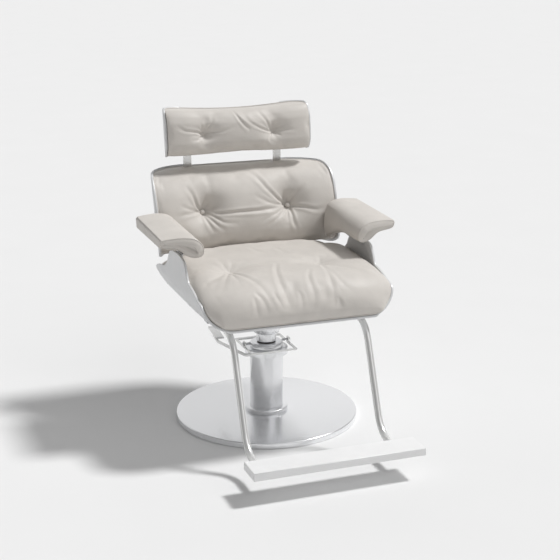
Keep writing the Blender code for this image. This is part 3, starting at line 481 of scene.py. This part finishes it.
def slab(name, grid, node, body):
    """A sheet of SHELL thickness about a grid of points, with a rounded rim."""
    normal = grid_normals(grid)
    loop = ring_of(*grid.shape[:2])
    edge = grid[loop]
    edge_normal = normal[loop]
    ahead = unit(np.roll(edge, -1, axis=0) - np.roll(edge, 1, axis=0))
    outward = unit(np.cross(edge_normal, ahead))
    outward *= np.sign(np.sum(outward * (edge - grid.mean(axis=(0, 1))), axis=1).mean())
    rings = []
    for angle in np.radians(RIM_ANGLES):
        rise = SHELL / 2 * math.copysign(abs(math.sin(angle)) ** RIM_SQUARE, angle)
        reach = RIM_ROUND * math.cos(angle) ** RIM_SQUARE
        rings.append(edge + edge_normal * rise + outward * reach)
    upper = grid + normal * SHELL / 2
    lower = grid - normal * SHELL / 2
    points, faces = between_grids(upper, lower, rings)
    piece = new_mesh(name, points, faces, "shell_lacquer", body)
    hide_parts(node)


def shell_pieces():
    across = np.linspace(-1, 1, SHELL_COLUMNS)
    rows = []
    for y, top in resampled(SEAT_WALL, SEAT_ROWS):
        y = min(max(y, SEAT_FRONT + RIM_ROUND), SEAT_REAR - RIM_ROUND)
        middle = seat_underside(y) + SHELL / 2
        length = bent_length(top - RIM_ROUND - middle, SEAT_HALF, SEAT_CORNER)
        x, rise = bent(across * length, SEAT_HALF, SEAT_CORNER)
        rows.append(on_seat(x, y, middle + rise))
    slab("seat_shell_skin", np.array(rows), "seat_shell", "seat")
    rows = []
    for z, depth in resampled(BACK_WALL, BACK_ROWS):
        z = min(z, BACK_TOP - RIM_ROUND)
        length = bent_length(depth - RIM_ROUND, BACK_HALF, BACK_CORNER)
        x, rise = bent(across * length, BACK_HALF, BACK_CORNER)
        rows.append(on_back(x, z, rise))
    slab("back_shell_skin", np.array(rows), "back_shell", "seat")
    rows = []
    tall = HEADREST_HIGH - HEADREST_LOW
    for share, depth in resampled(HEADREST_WALL, HEADREST_ROWS):
        share = min(max(share, RIM_ROUND / tall), 1 - RIM_ROUND / tall)
        length = bent_length(depth - RIM_ROUND, HEADREST_HALF, HEADREST_CORNER)
        x, rise = bent(across * length, HEADREST_HALF, HEADREST_CORNER)
        rows.append(on_headrest(x, share, rise, 0.0))
    slab("headrest_shell_skin", np.array(rows), "headrest_shell", "headrest")


class Pad:
    """A cushion's shape: stations from one end to the other, in a bent shell."""

    def __init__(self, stations, half, corner, place, floor, chart, inward, overhang=0.0):
        self.stations = stations
        self.half = half
        self.corner = corner
        self.place = place
        self.floor = floor      # height of the shell's inside, under a place along it
        self.chart = chart      # "run" or "height": what the second number of a crease is
        self.inward = inward    # the way a tuft pulls
        self.overhang = overhang    # how far its sides bulge over the rim

    def grids(self, rows, columns):
        """(outer surface, surface against the shell, distances along) of the cushion."""
        even = np.linspace(-1, 1, columns)
        across = EVEN_SHARE * even + SIDE_SHARE * np.sin(math.pi / 2 * even)
        crown = np.sqrt(np.maximum(1 - across ** CROWN_POWER, 0))
        outer, under = [], []
        for side, seam, middle, top, full in resampled(self.stations, rows, (2, 3)):
            floor = self.floor(side)
            length = bent_length(seam - floor, self.half, self.corner)
            x, rise = bent(across * length, self.half, self.corner)
            rest = np.stack([x, side + 0 * x, floor + rise])
            wide = bent(np.array(length), self.half, self.corner)[0]
            bulge = 1 + self.overhang / wide * np.sin(math.pi * np.clip(crown * BULGE_END, 0, 1))
            out = np.stack([across * wide * bulge, side + (middle - side) * crown,
                            seam + (top - seam) * crown])
            puffed = rest + (out - rest) * full
            outer.append(self.place(*puffed))
            under.append(self.place(*rest))
        outer, under = np.array(outer), np.array(under)
        chart = outer[..., [0, 2]].copy()
        if self.chart == "run":
            chart[..., 1] = run_along(outer[:, columns // 2])[:, None]
        return outer, under, chart


def tufted(outer, chart, tufts, inward):
    """The surface pulled in at each tuft, as a rounded cone."""
    for across, along, depth, radius, bottom in tufts:
        distance = np.hypot(chart[..., 0] - across, chart[..., 1] - along)
        pull = depth * np.exp(-(np.hypot(distance, bottom) - bottom) / radius)
        outer = outer + pull[..., None] * np.array(inward)
    return outer


def line_distance(chart, points):
    """(distance to the line through these points, share of the way along it) for each place."""
    points = np.array(points)
    lengths = np.linalg.norm(np.diff(points, axis=0), axis=1)
    run = np.concatenate([[0], np.cumsum(lengths)]) / lengths.sum()
    nearest = np.full(chart.shape[:2], np.inf)
    share = np.zeros(chart.shape[:2])
    for i, (start, end) in enumerate(zip(points, points[1:])):
        step = end - start
        f = np.clip(((chart - start) @ step) / (step @ step), 0, 1)
        away = np.linalg.norm(chart - start - f[..., None] * step, axis=-1)
        closer = away < nearest
        nearest = np.where(closer, away, nearest)
        share = np.where(closer, run[i] + f * (run[i + 1] - run[i]), share)
    return nearest, share


def creased(outer, chart, creases, tufts, outward):
    """The surface with a valley along each crease and a low ridge on either side of it."""
    valleys = np.zeros(chart.shape[:2])
    ridges = np.zeros(chart.shape[:2])
    for depth, width, both_ends, points in creases:
        away, share = line_distance(chart, bowed(points))
        share = np.clip(share, 0, 1)
        fade = np.sin(math.pi * share) ** 0.7 if both_ends else (1 - share) ** 0.8
        width = width * (CREASE_NARROW + CREASE_WIDEN * share)
        valley = np.exp(-(away / width) ** CREASE_SHARP)
        ridge = np.exp(-((away - RIDGE_AWAY * width) / (RIDGE_WIDE * width)) ** 2)
        valleys = np.maximum(valleys, depth * fade * valley)
        ridges = np.maximum(ridges, RIDGE * depth * fade * ridge)
    height = ridges - valleys
    for across, along, *_ in tufts:
        distance = np.hypot(chart[..., 0] - across, chart[..., 1] - along)
        height *= 1 - np.exp(-(distance / TUFT_CLEAR) ** 4)
    normal = grid_normals(outer)
    normal *= np.sign(np.sum(normal * np.array(outward)))
    return outer + normal * height[..., None]


def bowed(points, count=9):
    """Points on a smooth curve through the given ones; a line of two points stays as it is."""
    points = np.array(points, float)
    if len(points) == 2:
        return points
    run = run_along(points)
    return smooth_through(run, points, np.linspace(0, run[-1], count))


def finer(values, factor):
    """A grid of values at factor times as many steps each way, on smooth curves."""
    for _ in range(2):
        count = len(values)
        flat = values.reshape(count, -1)
        wanted = np.linspace(0, count - 1, factor * (count - 1) + 1)
        i = np.clip(wanted.astype(int), 0, count - 2)
        f = (wanted - i)[:, None]
        before, after = flat[np.maximum(i - 1, 0)], flat[np.minimum(i + 2, count - 1)]
        here, ahead = flat[i], flat[i + 1]
        smooth = 0.5 * (2 * here + (ahead - before) * f
                        + (2 * before - 5 * here + 4 * ahead - after) * f ** 2
                        + (3 * here - before - 3 * ahead + after) * f ** 3)
        values = smooth.reshape(len(wanted), *values.shape[1:]).swapaxes(0, 1)
    return values


def cloth_swell(outer, under, held, cap):
    """How far each point of the outer surface moves when the cover is filled, held at its seam and tufts."""
    points, faces = between_grids(outer, under)
    data = bpy.data.meshes.new("cover")
    data.from_pydata(points.tolist(), [], faces.tolist())
    cover = bpy.data.objects.new("cover", data)
    bpy.context.scene.collection.objects.link(cover)
    free = np.zeros(len(points), bool)
    free[: outer.shape[0] * outer.shape[1]] = ~held.reshape(-1)
    group = cover.vertex_groups.new(name="held")
    group.add(np.flatnonzero(~free).tolist(), 1.0, "REPLACE")
    cloth = cover.modifiers.new("cloth", "CLOTH")
    settings = cloth.settings
    settings.vertex_group_mass = "held"
    settings.use_pressure = True
    settings.uniform_pressure_force = CLOTH_PRESSURE
    settings.effector_weights.gravity = 0
    settings.shrink_min = -CLOTH_GROWTH
    settings.quality = 4
    settings.tension_stiffness = 12
    settings.compression_stiffness = 12
    settings.bending_stiffness = 0.4
    settings.tension_damping = 8
    cloth.collision_settings.use_self_collision = False
    cloth.collision_settings.use_collision = False
    scene = bpy.context.scene
    for number in range(1, CLOTH_FRAMES + 1):
        scene.frame_set(number)
    evaluated = cover.evaluated_get(bpy.context.evaluated_depsgraph_get())
    moved = np.zeros(len(points) * 3, np.float32)
    evaluated.data.vertices.foreach_get("co", moved)
    scene.frame_set(1)
    bpy.data.objects.remove(cover)
    travel = moved.reshape(-1, 3)[: outer.shape[0] * outer.shape[1]].reshape(outer.shape) - outer
    travel[held] = 0
    length = np.linalg.norm(travel, axis=-1, keepdims=True)
    return travel * np.minimum(1, cap / np.maximum(length, 1e-9))


def softened(values, held, times=4):
    """A grid of values with its smallest kinks smoothed out, and zero where the cover is held."""
    for _ in range(times):
        padded = np.pad(values, ((1, 1), (1, 1), (0, 0)), mode="edge")
        around = padded[:-2, 1:-1] + padded[2:, 1:-1] + padded[1:-1, :-2] + padded[1:-1, 2:]
        values = (4 * values + around) / 8
        values[held] = 0
    return values


def uneven(outer, outward):
    """The surface with the slow bumps of a hand-stuffed cover."""
    lift = np.array([noise.noise(Vector(p) / LUMP_SIZE) for p in outer.reshape(-1, 3)])
    return outer + (lift.reshape(outer.shape[:2]) * LUMP_HEIGHT)[..., None] * np.array(outward)


def swell_of(pad, rows, columns, tufts, cap):
    """How a cloth simulation on a coarse grid fills the cushion, on its fine grid."""
    coarse, under, chart = pad.grids(rows, columns)
    coarse = tufted(coarse, chart, tufts, pad.inward)
    held = np.zeros(coarse.shape[:2], bool)
    held[[0, -1]] = True
    held[:, [0, -1]] = True
    for across, along, *_ in tufts:
        held |= np.hypot(chart[..., 0] - across, chart[..., 1] - along) < TUFT_HELD
    return finer(softened(cloth_swell(coarse, under, held, cap), held), FINER)


def cushion(name, pad, rows, columns, tufts, creases, node, body, outward, cap):
    """A padded piece from its shape, tufts and creases, filled by a cloth simulation."""
    outer, under, chart = pad.grids(FINER * (rows - 1) + 1, FINER * (columns - 1) + 1)
    outer = tufted(outer, chart, tufts, pad.inward)
    outer = outer + swell_of(pad, rows, columns, tufts, cap)
    inner = creased(outer, chart, creases, tufts, outward)
    outer[1:-1, 1:-1] = uneven(inner, outward)[1:-1, 1:-1]
    points, faces = between_grids(outer, under)
    piece = new_mesh(name, points, faces, "leather", body)
    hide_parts(node)
    piping(name + "_piping", outer[ring_of(*outer.shape[:2])], body)


def piping(name, loop, body):
    """A closed leather cord along a loop of points."""
    kept = [loop[0]]
    for point in loop[1:]:
        if np.linalg.norm(point - kept[-1]) > PIPING_STEP:
            kept.append(point)
    if np.linalg.norm(kept[-1] - kept[0]) < PIPING_STEP:
        kept.pop()
    path = np.array(kept)
    for _ in range(3):
        path = eased(path)
    ahead = unit(np.roll(path, -1, axis=0) - np.roll(path, 1, axis=0))
    side = unit(np.cross(ahead, path - path.mean(axis=0)))
    up = np.cross(side, ahead)
    angles = np.linspace(0, 2 * math.pi, PIPING_SIDES, endpoint=False)
    rings = [path + PIPING_R * (side * math.cos(a) + up * math.sin(a)) for a in angles]
    points = np.stack(rings, axis=1)
    index = np.arange(len(path) * PIPING_SIDES).reshape(len(path), PIPING_SIDES)
    index = np.vstack([index, index[:1]])
    index = np.hstack([index, index[:, :1]])
    new_mesh(name, points.reshape(-1, 3), quads(index), "leather", body)


def cushion_pieces():
    lean = unit(np.array([0.0, 1.0, -BACK_LEAN]))
    head_lean = unit(np.array([0.0, 1.0, -HEAD_LEAN]))
    seat = Pad(SEAT_PAD, SEAT_PAD_HALF, SEAT_PAD_CORNER, on_seat,
               lambda y: seat_underside(y) + SEAT_PAD_LIFT, "run", (0, 0, -1), 0.006)
    back = Pad(BACK_PAD, BACK_PAD_HALF, BACK_PAD_CORNER, on_back,
               lambda z: BACK_PAD_LIFT, "height", tuple(lean))
    head = Pad(HEAD_PAD, HEAD_PAD_HALF, HEAD_PAD_CORNER, on_headrest,
               lambda share: HEAD_PAD_LIFT, "height", tuple(head_lean))
    cushion("seat_cushion_cover", seat, 84, 92, SEAT_TUFTS, SEAT_CREASES, "seat_cushion", "seat",
            (0, -0.3, 1), 0.009)
    cushion("back_cushion_cover", back, 44, 92, BACK_TUFTS, BACK_CREASES, "back_cushion", "seat",
            tuple(-lean), 0.008)
    cushion("headrest_cushion_cover", head, 34, 78, HEAD_TUFTS, HEAD_CREASES, "headrest_cushion",
            "headrest", tuple(-head_lean), 0.007)


def arm_outline(count=168):
    """The armrest's section as an even, smooth closed curve."""
    section = np.array(ARM_SECTION)
    wrapped = np.vstack([section[-3:], section, section[:3]])
    run = run_along(wrapped)
    wanted = np.linspace(run[3], run[-3], count + 1)[:-1]
    outline = np.stack([np.interp(wanted, run, wrapped[:, k]) for k in (0, 1)], axis=-1)
    for turn in range(ARM_EASINGS):
        soft = (outline[:, :1] < ARM_SOFT) | (turn < ARM_CRISP_EASINGS)
        outline = np.where(soft, eased(outline), outline)
    seam = np.argmin(np.linalg.norm(outline - np.array(ARM_SEAM), axis=1))
    outline[seam] -= ARM_GROOVE
    return outline


def arm_heart(outline):
    """For each point of the section, where it goes as the section shrinks to its middle line."""
    heart = bowed(ARM_HEART, 120)
    away = np.linalg.norm(outline[:, None] - heart[None], axis=-1)
    goal = heart[np.argmin(away, axis=1)]
    for _ in range(6):
        goal = eased(goal)
    return goal


def arm_ring(outline, share, shrink, step):
    """The outline at the armrest's front (share 0) to rear (1), drawn in by shrink and moved by step."""
    x, z = outline.T
    reach = (ARM_OUTER - x) / ARM_WIDE
    under = np.maximum(ARM_SEAM_Z - z, 0)
    lean = ARM_FRONT_LEAN + (ARM_INNER_LEAN - ARM_FRONT_LEAN) * reach
    front = ARM_FRONT - ARM_FRONT_SKEW * reach + under * lean
    rear = ARM_REAR - ARM_REAR_SKEW * reach - ARM_REAR_LEAN * under
    y = front + (rear - front) * share + step
    spokes = arm_heart(outline) - outline
    reach_in = np.minimum(shrink / np.linalg.norm(spokes, axis=1), ARM_SHRINK_MOST)[:, None]
    x, z = (outline + spokes * reach_in).T
    tilt = (ARM_FRONT_FALL + ARM_REAR_RISE) * share - ARM_FRONT_FALL
    tilt = tilt * np.maximum(z - ARM_MIDDLE_Z, 0) / ARM_UPPER
    inner = np.clip((ARM_MIDDLE_X - x) / ARM_INNER, 0, 1)
    below = np.clip((ARM_SEAM_Z - z) / ARM_LOWER, 0, 1)
    late = max((share - ARM_DROP_FROM) / (1 - ARM_DROP_FROM), 0)
    return np.stack([x, y, z + tilt - ARM_DROP * late ** 1.5 * inner * below], axis=-1)


def armrest_pieces():
    """Two padded armrests with a seam round the edge of their front faces."""
    outline = arm_outline()
    angles = np.linspace(0, math.pi / 2, 9)
    inward = np.linspace(ARM_CAP, ARM_ROUND * 1.3, 8)
    cap = [(shrink, -ARM_DOME * min(shrink / ARM_DOME_EDGE, 1)) for shrink in inward]
    edge = [(ARM_ROUND * (1 - math.sin(a)), ARM_ROUND * (1 - math.cos(a))) for a in angles]
    rings = [arm_ring(outline, 0, shrink, step) for shrink, step in cap + edge]
    rings += [arm_ring(outline, share, 0, 0) for share in np.linspace(0.06, 0.94, 36)]
    rings += [arm_ring(outline, 1, shrink, -step) for shrink, step in reversed(cap + edge)]
    points = np.array(rings)
    count, sides = points.shape[:2]
    index = np.arange(count * sides).reshape(count, sides)
    ends = [tuple(index[0][::-1]), tuple(index[-1])]
    index = np.hstack([index, index[:, :1]])
    for sign, side in ((-1, "left"), (1, "right")):
        name = f"armrest_pad_{side}"
        every = points.reshape(-1, 3) * (sign, 1, 1)
        faces = [tuple(int(i) for i in face) for face in quads(index).tolist() + ends]
        piece = new_mesh(name, every, faces, "leather", "seat")
        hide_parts(f"armrest_{side}")
        seam = arm_ring(outline, 0, ARM_PIPING_IN, ARM_PIPING_IN) * (sign, 1, 1)
        piping(name + "_piping", seam, "seat")


class Finish:
    """A procedural material: a Principled shader with grain, wear and bump from noise."""

    def __init__(self, name, colour, roughness, metallic=0.0, **sockets):
        self.material = bpy.data.materials.new("look_" + name)
        self.material.use_nodes = True
        self.tree = self.material.node_tree
        self.shader = self.tree.nodes["Principled BSDF"]
        self.colour = colour
        self.shader.inputs["Roughness"].default_value = roughness
        self.shader.inputs["Metallic"].default_value = metallic
        for socket, value in sockets.items():
            self.shader.inputs[socket.replace("_", " ")].default_value = value
        self.place = self.node("ShaderNodeTexCoord").outputs["Object"]
        self.last_bump = None

    def node(self, kind, **values):
        made = self.tree.nodes.new(kind)
        for key, value in values.items():
            setattr(made, key, value)
        return made

    def link(self, source, target):
        self.tree.links.new(source, target)

    def turned(self):
        """Coordinates for a piece turned about Z: distance from the axis and height."""
        split = self.node("ShaderNodeSeparateXYZ")
        self.link(self.place, split.inputs[0])
        flat = self.node("ShaderNodeCombineXYZ")
        self.link(split.outputs["X"], flat.inputs["X"])
        self.link(split.outputs["Y"], flat.inputs["Y"])
        radius = self.node("ShaderNodeVectorMath", operation="LENGTH")
        self.link(flat.outputs[0], radius.inputs[0])
        made = self.node("ShaderNodeCombineXYZ")
        self.link(radius.outputs["Value"], made.inputs["X"])
        self.link(split.outputs["Z"], made.inputs["Y"])
        return made.outputs[0]

    def stretched(self, scale):
        """Coordinates stretched along the axes, for a brushed grain."""
        mapping = self.node("ShaderNodeMapping")
        mapping.inputs["Scale"].default_value = scale
        self.link(self.place, mapping.inputs["Vector"])
        return mapping.outputs[0]

    def noise(self, scale, detail=3.0, where=None, rough=0.5):
        made = self.node("ShaderNodeTexNoise")
        made.inputs["Scale"].default_value = scale
        made.inputs["Detail"].default_value = detail
        made.inputs["Roughness"].default_value = rough
        self.link(where or self.place, made.inputs["Vector"])
        return made.outputs["Fac"]

    def cells(self, scale, feature="F1"):
        made = self.node("ShaderNodeTexVoronoi", feature=feature)
        made.inputs["Scale"].default_value = scale
        self.link(self.place, made.inputs["Vector"])
        return made.outputs["Distance"]

    def ramp(self, factor, low, high, first=0.0, last=1.0):
        """A value that goes from first to last as the pattern goes from low to high."""
        made = self.node("ShaderNodeMapRange")
        made.inputs["From Min"].default_value = low
        made.inputs["From Max"].default_value = high
        made.inputs["To Min"].default_value = first
        made.inputs["To Max"].default_value = last
        self.link(factor, made.inputs["Value"])
        return made.outputs["Result"]

    def tint(self, factor, low, high, dark, light):
        """Base colour that goes from dark times to light times the finish's colour over the pattern."""
        mix = self.node("ShaderNodeMix", data_type="RGBA")
        mix.inputs[MIX_A].default_value = (*[c * dark for c in self.colour], 1)
        mix.inputs[MIX_B].default_value = (*[min(c * light, 1) for c in self.colour], 1)
        self.link(self.ramp(factor, low, high), mix.inputs[MIX_FACTOR])
        self.link(mix.outputs[MIX_RESULT], self.shader.inputs["Base Color"])

    def worn(self, factor, low, high, smooth, rough):
        """Roughness that varies over the pattern."""
        self.link(self.ramp(factor, low, high, smooth, rough), self.shader.inputs["Roughness"])

    def bump(self, factor, strength, distance):
        made = self.node("ShaderNodeBump")
        made.inputs["Strength"].default_value = strength
        made.inputs["Distance"].default_value = distance
        self.link(factor, made.inputs["Height"])
        if self.last_bump:
            self.link(self.last_bump, made.inputs["Normal"])
        self.last_bump = made.outputs["Normal"]
        self.link(self.last_bump, self.shader.inputs["Normal"])


def make_materials():
    """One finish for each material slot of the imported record."""
    leather = Finish("leather", (0.637, 0.603, 0.564), 0.52, Specular_IOR_Level=0.36)
    leather.tint(leather.noise(14, 4), 0.35, 0.65, 0.965, 1.03)
    leather.worn(leather.noise(90, 3), 0.3, 0.7, 0.48, 0.60)
    leather.bump(leather.cells(620, "SMOOTH_F1"), 0.28, 0.0006)
    leather.bump(leather.noise(1700, 2), 0.18, 0.0003)
    leather.bump(leather.noise(120, 3), 0.20, 0.0008)

    shell = Finish("shell_lacquer", (0.700, 0.705, 0.710), 0.42, 0.20)
    shell.tint(shell.noise(2600, 1), 0.3, 0.7, 0.97, 1.02)
    shell.worn(shell.noise(35, 3), 0.3, 0.7, 0.38, 0.46)
    shell.bump(shell.noise(420, 2), 0.05, 0.0003)

    steel = Finish("brushed_steel", (0.90, 0.905, 0.92), 0.24, 0.74)
    ringed = steel.turned()
    steel.tint(steel.noise(900, 2, ringed), 0.3, 0.7, 0.985, 1.01)
    steel.worn(steel.noise(22, 2), 0.3, 0.7, 0.20, 0.25)
    steel.bump(steel.noise(1500, 2, ringed), 0.04, 0.0001)

    chrome = Finish("satin_chrome", (0.86, 0.86, 0.85), 0.24, 0.58)
    chrome.tint(chrome.noise(60, 2), 0.3, 0.7, 0.99, 1.01)
    chrome.worn(chrome.noise(120, 2), 0.3, 0.7, 0.21, 0.27)
    chrome.bump(chrome.noise(700, 1), 0.02, 0.0001)

    plain = Finish("steel", (0.56, 0.56, 0.57), 0.36, 1.0)
    plain.tint(plain.noise(80, 3), 0.3, 0.7, 0.92, 1.04)
    plain.worn(plain.noise(260, 3), 0.3, 0.7, 0.30, 0.44)
    plain.bump(plain.noise(900, 2), 0.10, 0.0002)

    iron = Finish("cast_iron", (0.18, 0.18, 0.19), 0.60, 0.6)
    iron.tint(iron.noise(60, 4), 0.3, 0.7, 0.8, 1.15)
    iron.worn(iron.noise(150, 3), 0.3, 0.7, 0.5, 0.7)
    iron.bump(iron.noise(500, 4), 0.4, 0.0008)

    bronze = Finish("bronze", (0.62, 0.44, 0.22), 0.38, 1.0)
    bronze.tint(bronze.noise(70, 3), 0.3, 0.7, 0.9, 1.05)
    bronze.worn(bronze.noise(200, 3), 0.3, 0.7, 0.32, 0.45)
    bronze.bump(bronze.noise(900, 2), 0.1, 0.0002)

    board = Finish("board_white", (0.86, 0.86, 0.86), 0.38)
    board.tint(board.noise(25, 4), 0.3, 0.7, 0.975, 1.01)
    board.worn(board.noise(60, 4), 0.3, 0.7, 0.33, 0.45)
    board.bump(board.noise(1100, 2), 0.12, 0.0003)

    rubber = Finish("black_rubber", (0.028, 0.028, 0.028), 0.75)
    rubber.tint(rubber.noise(90, 3), 0.3, 0.7, 0.8, 1.3)
    rubber.worn(rubber.noise(70, 3), 0.3, 0.7, 0.65, 0.85)
    rubber.bump(rubber.noise(700, 3), 0.25, 0.0004)

    made = (leather, shell, steel, chrome, plain, iron, bronze, board, rubber)
    return {f.material.name.removeprefix("look_"): f.material for f in made}


def finish_nodes():
    """Rounded edges, smooth shading and a procedural material for every CAD node that stays."""
    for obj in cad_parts.values():
        for held in obj.material_slots:
            held.material = MATERIALS[held.material.name.split(".")[0]]
        if obj.hide_render:
            continue
        custom = obj.data.attributes.get("custom_normal")
        if custom:
            obj.data.attributes.remove(custom)
        obj.data.shade_smooth()
        weld = obj.modifiers.new("weld", "WELD")
        weld.merge_threshold = 1e-5
        edge = obj.modifiers.new("edge", "BEVEL")
        edge.width = EDGE_ROUND
        edge.segments = 3
        edge.limit_method = "ANGLE"
        edge.angle_limit = math.radians(EDGE_ANGLE)
        edge.harden_normals = True


def button_points(centre):
    """A button's points, ring by ring, with its face along the back's lean."""
    tilt = math.atan(BACK_LEAN)
    points = []
    for radius, height in BUTTON_PROFILE:
        for k in range(BUTTON_SIDES):
            angle = 2 * math.pi * k / BUTTON_SIDES
            x = radius * math.cos(angle)
            up = radius * math.sin(angle)
            out = height + BUTTON_PLEAT * math.sin(BUTTON_PLEATS * angle) * radius
            points.append(centre + (x, up * math.sin(tilt) - out * math.cos(tilt),
                                    up * math.cos(tilt) + out * math.sin(tilt)))
    return points


def button_pieces():
    """Covered buttons, sunk in the back cushion's tufts."""
    rings = len(BUTTON_PROFILE)
    index = np.arange(rings * BUTTON_SIDES).reshape(rings, BUTTON_SIDES)
    index = np.hstack([index, index[:, :1]])
    for side in ("left", "right"):
        low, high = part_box(f"back_button_{side}")
        points = button_points(np.array((low + high) / 2))
        piece = new_mesh(f"tuft_button_{side}", points, quads(index), "leather", "seat")
        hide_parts(f"back_button_{side}")


def light_room(tree):
    """A soft sky, dim on the camera's side and bright behind the chair."""
    place = tree.nodes.new("ShaderNodeTexCoord")
    split = tree.nodes.new("ShaderNodeSeparateXYZ")
    ramp = tree.nodes.new("ShaderNodeMapRange")
    ramp.interpolation_type = "SMOOTHSTEP"
    ramp.inputs["From Min"].default_value, ramp.inputs["From Max"].default_value = SKY_TURN
    ramp.inputs["To Min"].default_value = SKY_FRONT
    ramp.inputs["To Max"].default_value = SKY_BACK
    tree.links.new(place.outputs["Generated"], split.inputs[0])
    tree.links.new(split.outputs["Y"], ramp.inputs["Value"])
    tree.links.new(ramp.outputs["Result"], tree.nodes["Background"].inputs["Strength"])
    tree.nodes["Background"].inputs["Color"].default_value = (1, 1, 1, 1)


def add_camera(scene):
    camera = bpy.data.objects.new("camera", bpy.data.cameras.new("camera"))
    camera.location = CAMERA_AT
    camera.rotation_euler = (Vector(CAMERA_TO) - Vector(CAMERA_AT)).to_track_quat("-Z", "Y").to_euler()
    camera.data.lens = LENS
    camera.data.sensor_width = 36
    scene.collection.objects.link(camera)
    scene.camera = camera


def add_lights(scene):
    for name, source, power, size in LIGHTS:
        sun = bpy.data.objects.new(name, bpy.data.lights.new(name, "SUN"))
        sun.rotation_euler = Vector(source).to_track_quat("Z", "Y").to_euler()
        sun.data.energy = power
        sun.data.angle = math.radians(size)
        scene.collection.objects.link(sun)
    scene.world = bpy.data.worlds.new("studio")
    scene.world.use_nodes = True
    light_room(scene.world.node_tree)


def add_floor(scene):
    half = FLOOR_SIDE / 2
    corners = [(-half, -half, 0), (half, -half, 0), (half, half, 0), (-half, half, 0)]
    data = bpy.data.meshes.new("floor")
    data.from_pydata(corners, [], [(0, 1, 2, 3)])
    floor = bpy.data.objects.new("floor", data)
    paint = Finish("floor", (0.80, 0.80, 0.80), 0.9, Specular_IOR_Level=0.1)
    paint.tint(paint.noise(3, 3), 0.3, 0.7, 0.995, 1.005)
    data.materials.append(paint.material)
    scene.collection.objects.link(floor)


def studio():
    scene = bpy.context.scene
    scene.view_settings.view_transform = "Standard"
    add_camera(scene)
    add_lights(scene)
    add_floor(scene)


MATERIALS = make_materials()
shell_pieces()
cushion_pieces()
armrest_pieces()
button_pieces()
finish_nodes()
studio()
